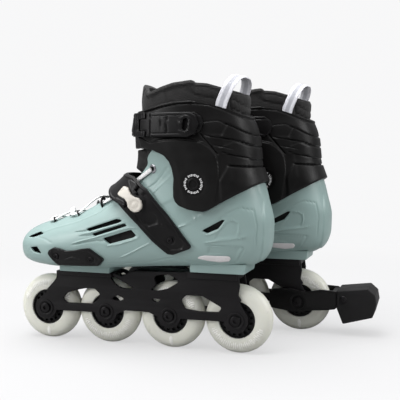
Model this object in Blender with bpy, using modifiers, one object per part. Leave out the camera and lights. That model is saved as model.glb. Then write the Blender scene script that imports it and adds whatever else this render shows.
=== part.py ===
"""A pair of hard-boot inline skates: moulded boots with hinged cuffs on four-wheel frames.

Outlines and sizes are in millimetres and become metres where meshes are made. Each skate is drawn as
the left one, in its own frame: toe towards -X, outer side towards -Y, X = 0 midway along the wheelbase,
Z = 0 the floor. The right skate is its mirror image, and it alone has the heel brake.
"""

import math

import bmesh
import bpy
from mathutils import Matrix, Vector

MM = 0.001
GAP = 0.3  # between pieces that touch

# ---------------------------------------------------------------- driving dimensions
SKATE_SPACING = 135.0  # between the two centre planes
RIGHT_SKATE_SET_BACK = 46.0  # the right skate stands this much further towards +X
ROW_SHIFT = -52.75  # puts the middle of the pair's length over the origin

WHEEL_DIAMETER = 80.0
WHEEL_WIDTH = 23.2
WHEEL_PITCH = 81.0
TYRE_BORE_RADIUS = 21.6
BEARING_RADIUS = 11.0  # 608 bearing: 22 mm outside, 8 mm bore, 7 mm wide
BEARING_WIDTH = 7.0
AXLE_RADIUS = 3.7
AXLE_HEAD_RADIUS = 6.2
AXLE_HEAD_HEIGHT = 2.2
HUB_HALF_WIDTH = 12.0
TYRE_SIDES = 24

FRAME_INSIDE = 12.4  # centre plane to the inner face of a frame wall
FRAME_WALL = 4.0
AXLE_BOSS_RADIUS = 14.5

SHELL_WALL = 3.5
SOLE_RISE = 2.0  # extra thickness under the foot
CUFF_WALL = 3.5
LINER_PADDING = 7.0

PIVOT_X = 83.0
PIVOT_Z = 197.0
PIVOT_HEAD_RADIUS = 11.5
PIVOT_SHAFT_RADIUS = 4.6
PIVOT_HOLE_RADIUS = 5.2

# Hinge lines of the two levers: a point (x, y, z) of each, on the outer side.
BUCKLE_HINGE = (19.0, -42.4, 263.0)
LATCH_HINGE = (-7.9, -40.4, 188.4)

STRAP_CLEARANCE = 0.5  # between a strap and the surface it lies on
INSTEP_STRAP_WALL = 3.2
INSTEP_STRAP_RISE = 6.0  # extra clearance where the strap passes over the laces
LATCH_CLEARANCE = 0.4
LATCH_WALL = 3.4
SLIDER_WALL = 3.1
ANKLE_STRAP_WALL = 3.4
LEVER_CLEARANCE = 0.4
LEVER_WALL = 4.0
CUFF_SLOT_HALF_WIDTH = 6.0  # the gap down the front of the cuff

LOOP_WIDTH = 13.0
LOOP_THICKNESS = 1.8
LOOP_CLEARANCE = 2.7
LOOP_FOOT = (111.0, 287.0)  # x, z
LOOP_TOP = (124.0, 317.0)
LOOP_TILT = (0.97, 0, -0.26)  # across the webbing, from its front edge to its back edge

LACE_DIAMETER = 3.6
RING_SIDES = 14  # facets round a boot section
CLEAR_OF_BOOT = 90.0  # half width of a cut that passes right through a boot

# ---------------------------------------------------------------- boot sections
# Each section is a plane across the boot, from its top (or front) line to its bottom (or back) line:
# top x, top z, bottom x, bottom z, half width, shift towards the inner side.
SHELL_SECTIONS = [
    (-152.5, 122, -152.5, 112, 14, 5),
    (-150.5, 130, -148, 104, 27, 5),
    (-143, 137.5, -139, 98, 38, 5),
    (-128, 144.5, -122, 94.5, 46, 4.5),
    (-101, 152, -97, 93, 51, 3),
    (-73, 160, -66, 93, 53, 1.5),
    (-49, 172, -34, 94, 51.5, 0),
    (-29, 184, 0, 96.5, 48.5, 0),
    (-14, 196, 36, 98.5, 46, 0),
    (-6, 205, 75, 100, 44.5, 0),
    (-1, 213, 112, 100.5, 43.5, 0),
    (0, 222, 138, 103.5, 43, 0),
    (1, 231, 153, 114, 43, 0),
    (1.5, 239, 159, 132, 44, 0),
    (1.5, 247, 159.5, 150, 45.5, 0),
    (1.5, 255, 155, 172, 46, 0),
    (1.5, 262, 148.5, 196, 46, 0),
    (1.5, 268, 141, 212, 45.5, 0),
    (1.5, 274, 134, 226, 45.5, 0),
]
CUFF_SECTIONS = [
    (-4, 214, 158, 112, 49, 0),
    (-3, 232, 165, 138, 49.8, 0),
    (-3, 240, 164.5, 158, 50.6, 0),
    (-3, 246, 160, 180, 51, 0),
    (-3, 251, 152.5, 200, 51.3, 0),
    (-3, 256, 147, 217, 51.3, 0),
    (-2, 262, 145, 236, 51, 0),
    (-1, 268, 142.5, 254, 50.5, 0),
    (0, 276, 136, 273, 49.5, 0),
    (3, 290, 131, 294, 48.5, 0),
]
LINER_SECTIONS = [
    (-145, 122, -145, 112, 10, 5),
    (-137, 133, -134, 104, 28, 5),
    (-101, 145, -97, 100.5, 44, 3),
    (-47, 164, -34, 101.5, 44.5, 0),
    (-9, 189, 36, 106, 39, 0),
    (5, 212, 110, 108.5, 36.5, 0),
    (7, 232, 147, 122, 37, 0),
    (7, 248, 152, 156, 39.5, 0),
    (7, 260, 140.5, 196, 40.5, 0),
    (6, 272, 131.5, 234, 42.5, 0),
    (5, 290, 132, 272, 43, 0),
    (9, 322, 134, 318, 42, 0),
]

# ---------------------------------------------------------------- side-view outlines (x, z)
SHELL_SIDE = [
    (-170, 60), (-170, 240), (-40, 240), (-8, 201), (2, 206.5), (13, 219), (27, 233), (36, 243),
    (50, 244), (85, 236), (120, 224), (170, 205), (170, 60),
]
THROAT_PLAN = [
    (-113, -4), (-108, -8), (-75, -13), (-39, -16), (-5, -20), (25, -32), (60, -32),
    (60, 32), (25, 32), (-5, 20), (-39, 16), (-75, 13), (-108, 8), (-113, 4),
]
THROAT_HEIGHTS = (125, 300)
VENT_OUTLINES = [
    [(-50, 142.6), (-13, 155.3), (-8.5, 155), (-5, 153.4), (-10, 150.8), (-45.5, 140.2)],
    [(-42, 137.6), (-4.3, 150), (-1.8, 150.3), (1.2, 147.7), (-38.2, 135)],
    [(-28.5, 132.7), (3.4, 142.8), (6.2, 143.4), (12.4, 137.2), (9, 134.8), (-20.2, 126.5)],
    [(-136.5, 128.8), (-117, 136.4), (-108.9, 134.7), (-126.5, 128.9)],
    [(-128.5, 117.6), (-117, 119.2), (-109, 110.2), (-122.5, 112.4)],
    [(88.5, 144.6), (112, 157.5), (116, 157.5), (108, 147.4), (95.6, 142.2)],
]
CUFF_SIDE = [
    (-20, 235), (20, 236), (33, 233.5), (46.3, 228.6), (53.5, 221.3), (57, 213), (58.8, 203), (58, 192),
    (58, 182.5), (60, 177), (64.5, 172.5), (74, 169), (84, 167.2), (93, 166.4), (98, 168), (116, 178.3),
    (135, 188.5), (170, 208),
    (170, 262), (139, 270), (116, 279), (103, 283), (78, 288), (56, 287), (40, 284), (19, 279),
    (-20, 276),
]
LINER_SIDE = [
    (-170, 60), (-170, 311), (8, 311), (15, 306), (21, 300), (27, 300), (40, 304.5), (56, 308.8),
    (78, 311), (80, 308.3), (95, 307), (112, 302), (125, 297), (170, 290), (170, 60),
]
SLIDER_SIDE = [
    (-99, 112.5), (-96.5, 116.5), (-89.5, 120.3), (-82, 119.4), (-73.5, 117.2), (-62, 118.2),
    (-53.5, 120.3), (-43, 121.3), (-27, 109.4), (-28, 106.5), (-35, 99.9), (-87, 98.5),
]
INSTEP_STRAP_SIDE = [
    (49.5, 117), (56, 116.5), (74.5, 123.5), (77, 126), (76, 129), (62.5, 146.5), (49.5, 162.5),
    (25, 189.5), (16, 196), (6, 203.5), (-15, 207.5), (-36, 204), (-33, 190), (-22, 179),
    (-10, 173.5), (-4, 168), (11, 153.5), (32, 132),
]
INSTEP_LATCH_SIDE = [
    (8.5, 166), (13, 164), (17.5, 165), (21, 168.5), (21.5, 172.5), (20, 177), (16.5, 180), (12, 181),
    (7.5, 183.5), (5, 186.5), (2, 191), (-4.5, 193), (-11, 184), (-5, 181), (0, 179), (3.5, 174.5),
    (4.5, 170),
]
ANKLE_STRAP_SIDE = [(-20, 250.5), (84, 250.5), (92, 256), (94, 263), (92, 270), (84, 275.5), (-20, 275.5)]
ANKLE_LEVER_SIDE = [(19, 249), (78, 248.5), (87, 252.5), (90.5, 262), (87, 271.5), (78, 275.5), (19, 277)]
FINGER_SLOT_SIDE = [(72, 257), (75, 255), (78, 257), (79, 267), (76, 269.5), (73, 267)]

# ---------------------------------------------------------------- frame side wall
FRAME_TOP = [
    (129, 62), (124, 69), (126, 80), (125, 86), (124, 93.9), (64, 93.9), (60, 92.8), (-7, 91),
    (-19, 83.5), (-28, 87.3), (-105, 87.3), (-107, 77), (-115, 68), (-122, 61),
]
FRAME_MID_BOTTOM = 43.0
FRAME_HOLES = [
    [
        (-99, 52), (-92, 47.5), (-58, 48.5), (-49, 55), (-48, 61), (-55, 67), (-66, 67), (-80, 64),
        (-92, 60),
    ],
    [(55, 60), (62, 66), (82, 66), (105, 54), (101, 48.5), (78, 48), (60, 50)],
    [(-34, 56), (-25, 61), (-16, 57), (-22, 54)],
    [(18, 59.5), (31, 59.5), (25, 54.5)],
    [(-35, 83), (-31, 84), (-4, 70.5), (-8, 69), (-20, 70), (-28, 74)],
    [(21, 86), (32, 88.5), (40, 89), (49, 85.5), (53, 81), (38, 72), (26, 69), (17, 69.5), (25, 77)],
]
FRONT_DECK = (-104.5, -31, 82.5, 87.6)  # low x, high x, low z, high z
REAR_DECK = (64.6, 123.4, 86.4, 94.2)
MIDDLE_DECK = (-4, 59, 89.6, 92.0)
DECK_HALF_WIDTH = 20.0
FRONT_PLINTH = (-98, -32, 87.9, 97)
REAR_PLINTH = (69, 133, 94.5, 104)
PLINTH_HALF_WIDTH = 24.0

# ---------------------------------------------------------------- laces
# Where the lace turns on the flaps beside the throat, in plan (x, y).
HOOK = (-35, -31)
EYELET_MIDDLE = (-70, 26)
EYELET_TOE = (-104, -22)

# ---------------------------------------------------------------- heel brake (right skate)
BRAKE_ARM_SIDE = [
    (84, 47), (88, 54.5), (110, 57), (133, 53), (150, 57), (171, 56), (171, 33), (158, 31), (110, 27),
    (85, 30.5),
]
BRAKE_PAD_SIDE = [
    (171.5, 57.3), (210, 62.2), (219, 54.5), (221, 43), (216.2, 25.7), (179.6, 15.5), (171.5, 35.7),
]
BRAKE_CARRIER = (164.5, 171, 34, 55)  # low x, high x, low z, high z
BRAKE_ARM_WALL = 3.6
BRAKE_PAD_HALF_WIDTH = 24.0

COLOURS = {  # colour, roughness, metallic
    "shell": ((0.30, 0.42, 0.39), 0.42, 0.0),
    "black_plastic": ((0.018, 0.018, 0.019), 0.38, 0.0),
    "liner": ((0.02, 0.02, 0.022), 0.8, 0.0),
    "webbing": ((0.7, 0.7, 0.73), 0.8, 0.0),
    "frame": ((0.02, 0.019, 0.02), 0.45, 0.0),
    "tyre": ((0.62, 0.62, 0.58), 0.35, 0.0),
    "hub": ((0.02, 0.02, 0.02), 0.4, 0.0),
    "steel": ((0.45, 0.45, 0.47), 0.3, 1.0),
    "dark_steel": ((0.08, 0.08, 0.09), 0.4, 1.0),
    "lace": ((0.8, 0.8, 0.8), 0.85, 0.0),
    "latch": ((0.72, 0.7, 0.68), 0.35, 0.0),
    "rubber": ((0.02, 0.02, 0.021), 0.7, 0.0),
}


# ---------------------------------------------------------------- mesh helpers
def clear_scene():
    for item in list(bpy.data.objects):
        bpy.data.objects.remove(item, do_unlink=True)


def mesh_of(item):
    """The evaluated mesh of a temporary object, in world space, with its caps welded."""
    bpy.context.view_layer.update()
    depsgraph = bpy.context.evaluated_depsgraph_get()
    mesh = bpy.data.meshes.new_from_object(item.evaluated_get(depsgraph))
    mesh.transform(item.matrix_world)
    bpy.data.objects.remove(item, do_unlink=True)
    bm = bmesh.new()
    bm.from_mesh(mesh)
    bmesh.ops.remove_doubles(bm, verts=bm.verts, dist=1e-6)
    bmesh.ops.recalc_face_normals(bm, faces=bm.faces)
    bm.to_mesh(mesh)
    bm.free()
    return mesh


def temporary(data):
    item = bpy.data.objects.new("temporary", data)
    bpy.context.scene.collection.objects.link(item)
    return item


def flat_curve(outlines, thickness):
    curve = bpy.data.curves.new("outline", "CURVE")
    curve.dimensions = "2D"
    curve.fill_mode = "BOTH"
    curve.extrude = thickness / 2 * MM
    for outline in outlines:
        spline = curve.splines.new("POLY")
        spline.points.add(len(outline) - 1)
        spline.use_cyclic_u = True
        for point, (across, up) in zip(spline.points, outline):
            point.co = (across * MM, up * MM, 0, 1)
    return temporary(curve)


def side_prism(outlines, low_y, high_y):
    """A side-view outline (x, z), with any holes, extruded across the skate."""
    item = flat_curve(outlines, high_y - low_y)
    upright = Matrix.Rotation(math.pi / 2, 4, "X")
    item.matrix_world = Matrix.Translation((0, (low_y + high_y) / 2 * MM, 0)) @ upright
    return mesh_of(item)


def through_prism(outline):
    return side_prism([outline], -CLEAR_OF_BOOT, CLEAR_OF_BOOT)


def outer_prism(outline, low_y=-10.0):
    """A side-view outline extruded through the outer side only."""
    return side_prism([outline], -CLEAR_OF_BOOT, low_y)


def plan_prism(outline, low_z, high_z):
    item = flat_curve([outline], high_z - low_z)
    item.matrix_world = Matrix.Translation((0, 0, (low_z + high_z) / 2 * MM))
    return mesh_of(item)


def box(low, high):
    bm = bmesh.new()
    bmesh.ops.create_cube(bm, size=1)
    size = Matrix.Diagonal([(b - a) * MM for a, b in zip(low, high)]).to_4x4()
    middle = Matrix.Translation([(a + b) / 2 * MM for a, b in zip(low, high)])
    bmesh.ops.transform(bm, matrix=middle @ size, verts=bm.verts)
    mesh = bpy.data.meshes.new("box")
    bm.to_mesh(mesh)
    bm.free()
    return mesh


def turned(profile, sides, middle, start=0.0):
    """A profile of (radius, y) turned about the Y axis through middle (x, z).

    It is closed, or starts and ends on the axis.
    """
    mesh = bpy.data.meshes.new("profile")
    points = [(radius * MM, 0, y * MM) for radius, y in profile]
    edges = [(i, i + 1) for i in range(len(points) - 1)]
    if profile[0][0] > 0:
        edges.append((len(points) - 1, 0))
    mesh.from_pydata(points, edges, [])
    item = temporary(mesh)
    screw = item.modifiers.new("turn", "SCREW")
    screw.axis = "Z"
    screw.steps = sides
    screw.render_steps = sides
    screw.use_merge_vertices = True
    screw.merge_threshold = 1e-5
    turn = Matrix.Rotation(-math.pi / 2, 4, "X") @ Matrix.Rotation(start, 4, "Z")
    item.matrix_world = Matrix.Translation((middle[0] * MM, 0, middle[1] * MM)) @ turn
    return mesh_of(item)


def rod(radius, low_y, high_y, middle, sides):
    """A solid cylinder along Y, its side facets centred on the axes."""
    bm = bmesh.new()
    bmesh.ops.create_cone(bm, cap_ends=True, segments=sides, radius1=radius * MM, radius2=radius * MM,
                          depth=(high_y - low_y) * MM)
    place = Matrix.Translation((middle[0] * MM, (low_y + high_y) / 2 * MM, middle[1] * MM))
    spin = Matrix.Rotation(math.pi / 2, 4, "X") @ Matrix.Rotation(math.pi / sides, 4, "Z")
    bmesh.ops.transform(bm, matrix=place @ spin, verts=bm.verts)
    mesh = bpy.data.meshes.new("rod")
    bm.to_mesh(mesh)
    bm.free()
    return mesh


def combined(base, other, operation):
    """Boolean of two meshes; both are used up."""
    target = temporary(base)
    cutter = temporary(other)
    modifier = target.modifiers.new("combine", "BOOLEAN")
    modifier.operation = operation
    modifier.solver = "EXACT"
    modifier.object = cutter
    mesh = mesh_of(target)
    bpy.data.objects.remove(cutter, do_unlink=True)
    return mesh


def cut(base, other):
    return combined(base, other, "DIFFERENCE")


def keep(base, other):
    return combined(base, other, "INTERSECT")


def join(base, other):
    return combined(base, other, "UNION")


# ---------------------------------------------------------------- boot surface
def section_shape(section):
    """How flat-soled a section is: belly height, and the exponents of its lower and upper halves."""
    top_x, top_z, bottom_x, bottom_z = section[:4]
    upright = (top_z - bottom_z) ** 2 / ((top_x - bottom_x) ** 2 + (top_z - bottom_z) ** 2)
    belly = 0.5 - 0.08 * upright
    lower = 0.85 - 0.23 * upright
    upper = 0.85 + 0.07 * upright
    return belly, lower, upper


def section_point(section, angle, outset):
    """Point of a section's rim: angle 0 is the bottom line, pi the top, and under pi the outer side."""
    top_x, top_z, bottom_x, bottom_z, half_width, shift = section
    belly, lower, upper = section_shape(section)
    length = math.hypot(top_x - bottom_x, top_z - bottom_z)
    along = Vector(((top_x - bottom_x) / length, (top_z - bottom_z) / length))
    cosine, sine = math.cos(angle), math.sin(angle)
    exponent = lower if cosine > 0 else upper
    reach = belly if cosine > 0 else 1 - belly
    level = belly - math.copysign(reach * abs(cosine) ** exponent, cosine)
    height = level * (length + 2 * outset) - outset
    width = (half_width + outset) * abs(sine) ** exponent
    x = bottom_x + along[0] * height
    z = bottom_z + along[1] * height
    return x, shift - math.copysign(width, sine), z


def between(low, high, share):
    return tuple(a + (b - a) * share for a, b in zip(low, high))


def side_y(sections, x, z, outset=0.0):
    """How far out the boot's outer side stands at a point of the side view (a positive number)."""
    def turn(section):
        top_x, top_z, bottom_x, bottom_z = section[:4]
        return (top_x - bottom_x) * (z - bottom_z) - (top_z - bottom_z) * (x - bottom_x)

    for low, high in zip(sections, sections[1:]):
        before, after = turn(low), turn(high)
        if (before > 0) != (after > 0):
            start, end = 0.0, 1.0
            for _ in range(30):
                middle = (start + end) / 2
                if (turn(between(low, high, middle)) > 0) == (before > 0):
                    start = middle
                else:
                    end = middle
            section = between(low, high, start)
            length = math.hypot(section[0] - section[2], section[1] - section[3])
            height = math.hypot(x - section[2], z - section[3]) / length
            belly, lower, upper = section_shape(section)
            exponent = lower if height < belly else upper
            reach = belly if height < belly else 1 - belly
            cosine = min(1.0, abs(height - belly) / reach) ** (1 / exponent)
            return (section[4] + outset) * (1 - cosine * cosine) ** (exponent / 2) - section[5]
    raise ValueError(f"no section passes through {x}, {z}")


def loft(sections, outset=0.0, sole_rise=0.0, sides=RING_SIDES):
    """The closed surface through the sections' rims."""
    bm = bmesh.new()
    rings = []
    for section in sections:
        top_x, top_z, bottom_x, bottom_z, half_width, shift = section
        raised = (top_x, top_z, bottom_x, bottom_z + sole_rise, half_width, shift)
        points = [section_point(raised, 2 * math.pi * i / sides, outset) for i in range(sides)]
        rings.append([bm.verts.new(Vector(point) * MM) for point in points])
    for low, high in zip(rings, rings[1:]):
        for i in range(sides):
            j = (i + 1) % sides
            bm.faces.new((low[i], low[j], high[j], high[i]))
    bm.faces.new(rings[0])
    bm.faces.new(rings[-1])
    bmesh.ops.recalc_face_normals(bm, faces=bm.faces)
    mesh = bpy.data.meshes.new("loft")
    bm.to_mesh(mesh)
    bm.free()
    return mesh


def skin(sections, low, wall, prism):
    """A layer of the boot's surface, from low outside it and as thick as wall, inside a prism."""
    block = keep(loft(sections, low + wall), prism)
    return cut(block, loft(sections, low))


# ---------------------------------------------------------------- placing
class Skate:
    def __init__(self, side, offset_x, offset_y, mirrored, group):
        self.side = side
        self.mirrored = mirrored
        self.group = group
        self.base = self.empty(f"{side}_skate", (offset_x, offset_y, 0), None)

    def empty(self, name, place, parent):
        item = bpy.data.objects.new(name, None)
        item.empty_display_size = 0.02
        item.location = Vector(place) * MM
        item.parent = parent
        self.group.objects.link(item)
        return item

    def axis(self, name, x, y, z):
        """An empty on a joint's axis."""
        return self.empty(f"{self.side}_{name}", (x, -y if self.mirrored else y, z), self.base)

    def add(self, name, mesh, material, axis=None):
        mesh = mesh.copy()
        if self.mirrored:
            mesh.transform(Matrix.Scale(-1, 4, (0, 1, 0)))
            mesh.flip_normals()
        if axis is not None:
            mesh.transform(Matrix.Translation(-axis.location))
        mesh.name = f"{self.side}_{name}"
        mesh.materials.clear()
        mesh.materials.append(material)
        item = bpy.data.objects.new(mesh.name, mesh)
        item.parent = axis or self.base
        self.group.objects.link(item)
        mesh.shade_smooth()
        mesh.set_sharp_from_angle(angle=math.radians(35))
        return item


def make_materials():
    made = {}
    for name, (colour, roughness, metallic) in COLOURS.items():
        material = bpy.data.materials.new(name)
        material.use_nodes = True
        shader = material.node_tree.nodes["Principled BSDF"]
        shader.inputs["Base Color"].default_value = (*colour, 1)
        shader.inputs["Roughness"].default_value = roughness
        shader.inputs["Metallic"].default_value = metallic
        material.diffuse_color = (*colour, 1)
        made[name] = material
    return made


# ---------------------------------------------------------------- boot pieces
def pivot_hole():
    return rod(PIVOT_HOLE_RADIUS, -CLEAR_OF_BOOT, CLEAR_OF_BOOT, (PIVOT_X, PIVOT_Z), 10)


def shell_mesh():
    mesh = keep(loft(SHELL_SECTIONS), through_prism(SHELL_SIDE))
    mesh = cut(mesh, plan_prism(THROAT_PLAN, *THROAT_HEIGHTS))
    for low_x, high_x, low_z, high_z in (FRONT_PLINTH, REAR_PLINTH):
        low = (low_x, -PLINTH_HALF_WIDTH, low_z)
        high = (high_x, PLINTH_HALF_WIDTH, high_z)
        mesh = join(mesh, box(low, high))
    toe = [(x + SHELL_WALL, *rest) for x, *rest in SHELL_SECTIONS[1:2]]
    mesh = cut(mesh, loft(toe + SHELL_SECTIONS[2:], -SHELL_WALL, SOLE_RISE))
    for outline in VENT_OUTLINES:
        mesh = cut(mesh, outer_prism(outline, -20))
        mesh = cut(mesh, side_prism([outline], 20, CLEAR_OF_BOOT))
    return cut(mesh, pivot_hole())


def cuff_mesh():
    mesh = skin(CUFF_SECTIONS, -CUFF_WALL, CUFF_WALL, through_prism(CUFF_SIDE))
    slot_low = (-30, -CUFF_SLOT_HALF_WIDTH, 150)
    slot_high = (60, CUFF_SLOT_HALF_WIDTH, 300)
    mesh = cut(mesh, box(slot_low, slot_high))
    return cut(mesh, pivot_hole())


def liner_mesh():
    mesh = keep(loft(LINER_SECTIONS), through_prism(LINER_SIDE))
    return cut(mesh, loft(LINER_SECTIONS[1:], -LINER_PADDING))


def pull_loop_mesh():
    """A webbing handle over the back of the liner's top, from one side to the other."""
    foot_x, foot_z = LOOP_FOOT
    top_x, top_z = LOOP_TOP
    foot_y = side_y(LINER_SECTIONS, foot_x, foot_z) + LOOP_CLEARANCE
    steps = 12
    bm = bmesh.new()
    rows = []
    for i in range(steps + 1):
        turn = math.pi * i / steps
        lift = math.sin(turn) ** 0.62
        y = -foot_y * math.copysign(abs(math.cos(turn)) ** 0.8, math.cos(turn))
        middle = Vector((foot_x + (top_x - foot_x) * lift, y, foot_z + (top_z - foot_z) * lift))
        half = Vector(LOOP_TILT) * LOOP_WIDTH / 2
        rows.append([bm.verts.new((middle - half) * MM), bm.verts.new((middle + half) * MM)])
    for low, high in zip(rows, rows[1:]):
        bm.faces.new((low[0], low[1], high[1], high[0]))
    mesh = bpy.data.meshes.new("pull_loop")
    bm.to_mesh(mesh)
    bm.free()
    item = temporary(mesh)
    solid = item.modifiers.new("thickness", "SOLIDIFY")
    solid.thickness = LOOP_THICKNESS * MM
    solid.offset = 0
    return mesh_of(item)


def pivot_mesh(side):
    """Rivet that the cuff turns on: a head over the cuff and a shaft into the shell."""
    shell_y = side_y(SHELL_SECTIONS, PIVOT_X, PIVOT_Z)
    cuff_y = side_y(CUFF_SECTIONS, PIVOT_X, PIVOT_Z)
    head_low = cuff_y + GAP
    profile = [
        (0, shell_y - SHELL_WALL + GAP), (PIVOT_SHAFT_RADIUS, shell_y - SHELL_WALL + GAP),
        (PIVOT_SHAFT_RADIUS, head_low), (PIVOT_HEAD_RADIUS, head_low),
        (PIVOT_HEAD_RADIUS - 1.2, head_low + 2), (0, head_low + 2),
    ]
    return turned([(radius, side * y) for radius, y in profile], 20, (PIVOT_X, PIVOT_Z))


def strap_loft(side_offset):
    """The shell's surface moved out by side_offset at the sides and further over the laces."""
    bm = bmesh.new()
    rings = []
    for section in SHELL_SECTIONS:
        ring = []
        for i in range(RING_SIDES):
            angle = 2 * math.pi * i / RING_SIDES
            lift = max(0.0, min(1.0, (-math.cos(angle) - 0.1) / 0.5))
            offset = side_offset + INSTEP_STRAP_RISE * lift
            ring.append(bm.verts.new(Vector(section_point(section, angle, offset)) * MM))
        rings.append(ring)
    for low, high in zip(rings, rings[1:]):
        for i in range(RING_SIDES):
            j = (i + 1) % RING_SIDES
            bm.faces.new((low[i], low[j], high[j], high[i]))
    bm.faces.new(rings[0])
    bm.faces.new(rings[-1])
    bmesh.ops.recalc_face_normals(bm, faces=bm.faces)
    mesh = bpy.data.meshes.new("strap_loft")
    bm.to_mesh(mesh)
    bm.free()
    return mesh


def instep_strap_mesh():
    outer = strap_loft(STRAP_CLEARANCE + INSTEP_STRAP_WALL)
    return cut(keep(outer, through_prism(INSTEP_STRAP_SIDE)), strap_loft(STRAP_CLEARANCE))


def instep_latch_mesh():
    low = STRAP_CLEARANCE + INSTEP_STRAP_WALL + LATCH_CLEARANCE
    block = keep(strap_loft(low + LATCH_WALL), outer_prism(INSTEP_LATCH_SIDE, -5))
    return cut(block, strap_loft(low))


def ankle_buckle_mesh():
    low = STRAP_CLEARANCE + ANKLE_STRAP_WALL + LEVER_CLEARANCE
    lever = skin(CUFF_SECTIONS, low, LEVER_WALL, outer_prism(ANKLE_LEVER_SIDE))
    return cut(lever, outer_prism(FINGER_SLOT_SIDE))


def crest_z(x, y):
    """Height of the shell's top surface at a point of the plan."""
    line = [(section[0], section[1]) for section in SHELL_SECTIONS]
    (x0, z0), (x1, z1) = next(pair for pair in zip(line, line[1:]) if pair[0][0] <= x <= pair[1][0])
    top = z0 + (z1 - z0) * (x - x0) / (x1 - x0)
    low, high = top - 30, top - 0.01
    for _ in range(30):
        middle = (low + high) / 2
        if side_y(SHELL_SECTIONS, x, middle) > abs(y):
            low = middle
        else:
            high = middle
    return low


def lace_route():
    """One lace: top eyelet, hook on the same flap, two crossings, a toe bar, and the same back."""
    lift = LACE_DIAMETER / 2 + 1.2

    def flap(x, z):
        return Vector((x, -side_y(SHELL_SECTIONS, x, z, lift), z))

    def crest(x, y, extra=0.0):
        return Vector((x, y, crest_z(x, y) + lift + extra))

    under = [
        flap(27, 212), flap(13, 203), crest(-5, -30, 0.6), crest(-21, -31, 0.6),
        crest(*HOOK), crest(-45, -17, 0.6), crest(-55, -1, 1), crest(-63, 13, 0.6),
        crest(*EYELET_MIDDLE), crest(-78, 25, 0.4), crest(-84, 15, 0.6), crest(-91, 0, 1),
        crest(-98, -14, 0.6), crest(*EYELET_TOE), crest(-110, -19, 0.4), crest(-112, -9, 0.5),
    ]
    over = [Vector((point.x, -point.y, point.z)) for point in reversed(under)]
    for point in over:
        if abs(point.y) < 16 and point.x > -105:
            point.z += (LACE_DIAMETER + 0.8) * (1 - abs(point.y) / 20)
    return under + [crest(-112, 0, 0.5)] + over


def smooth_route(points, spacing):
    """Points along a centripetal spline through the route's own points."""
    ends = [points[0] * 2 - points[1], *points, points[-1] * 2 - points[-2]]
    fine = []
    for p0, p1, p2, p3 in zip(ends, ends[1:], ends[2:], ends[3:]):
        knots = [0.0]
        for a, b in ((p0, p1), (p1, p2), (p2, p3)):
            knots.append(knots[-1] + max((b - a).length, 1e-6) ** 0.5)
        t0, t1, t2, t3 = knots
        for step in range(12):
            t = t1 + (t2 - t1) * step / 12
            a1 = p0 * ((t1 - t) / (t1 - t0)) + p1 * ((t - t0) / (t1 - t0))
            a2 = p1 * ((t2 - t) / (t2 - t1)) + p2 * ((t - t1) / (t2 - t1))
            a3 = p2 * ((t3 - t) / (t3 - t2)) + p3 * ((t - t2) / (t3 - t2))
            b1 = a1 * ((t2 - t) / (t2 - t0)) + a2 * ((t - t0) / (t2 - t0))
            b2 = a2 * ((t3 - t) / (t3 - t1)) + a3 * ((t - t1) / (t3 - t1))
            fine.append(b1 * ((t2 - t) / (t2 - t1)) + b2 * ((t - t1) / (t2 - t1)))
    fine.append(points[-1])
    route = [fine[0]]
    left = spacing
    for a, b in zip(fine, fine[1:]):
        step = (b - a).length
        while step > left:
            a = a + (b - a) * (left / step)
            route.append(a)
            step = (b - a).length
            left = spacing
        left -= step
    route.append(fine[-1])
    return route


def lace_mesh():
    curve = bpy.data.curves.new("lace", "CURVE")
    curve.dimensions = "3D"
    curve.bevel_depth = LACE_DIAMETER / 2 * MM
    curve.bevel_resolution = 2
    curve.use_fill_caps = True
    route = smooth_route(lace_route(), 9.0)
    spline = curve.splines.new("POLY")
    spline.points.add(len(route) - 1)
    for point, place in zip(spline.points, route):
        point.co = (*(place * MM), 1)
    return mesh_of(temporary(curve))


# ---------------------------------------------------------------- frame and wheels
def arc(middle, radius, start, end, steps):
    """Points from one angle to another, in degrees from +X towards +Z."""
    angles = [math.radians(start + (end - start) * i / steps) for i in range(steps + 1)]
    return [(middle[0] + radius * math.cos(a), middle[1] + radius * math.sin(a)) for a in angles]


def axle_places():
    return [(WHEEL_PITCH * (i - 1.5), WHEEL_DIAMETER / 2) for i in range(4)]


def frame_mesh():
    first, second, third, fourth = axle_places()
    outline = FRAME_TOP + arc(first, AXLE_BOSS_RADIUS, 150, 350, 5)
    outline += arc(second, AXLE_BOSS_RADIUS, 187, 350, 4)
    outline += [(-15, FRAME_MID_BOTTOM), (15, FRAME_MID_BOTTOM)]
    outline += arc(third, AXLE_BOSS_RADIUS, 187, 350, 4)
    outline += arc(fourth, AXLE_BOSS_RADIUS, 187, 385, 6)
    walls = []
    for side in (-1, 1):
        low, high = sorted((side * FRAME_INSIDE, side * (FRAME_INSIDE + FRAME_WALL)))
        walls.append(side_prism([outline, *FRAME_HOLES], low, high))
    mesh = walls[0]
    inside = FRAME_INSIDE + 1
    for (low_x, high_x, low_z, high_z), half in (
        (FRONT_DECK, DECK_HALF_WIDTH), (REAR_DECK, DECK_HALF_WIDTH), (MIDDLE_DECK, inside),
    ):
        mesh = join(mesh, box((low_x, -half, low_z), (high_x, half, high_z)))
    mesh = join(mesh, walls[1])
    for place in axle_places():
        mesh = cut(mesh, rod(AXLE_RADIUS + 0.6, -30, 30, place, 8))
    return mesh


def tyre_mesh(place):
    outer = WHEEL_DIAMETER / 2 / math.cos(math.pi / TYRE_SIDES)
    half = WHEEL_WIDTH / 2
    right = [(outer, 3.5), (outer - 4.5, half - 1.4), (TYRE_BORE_RADIUS, half)]
    profile = right + [(radius, -y) for radius, y in reversed(right)]
    return turned(profile[::-1], TYRE_SIDES, place, math.pi / TYRE_SIDES)


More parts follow.
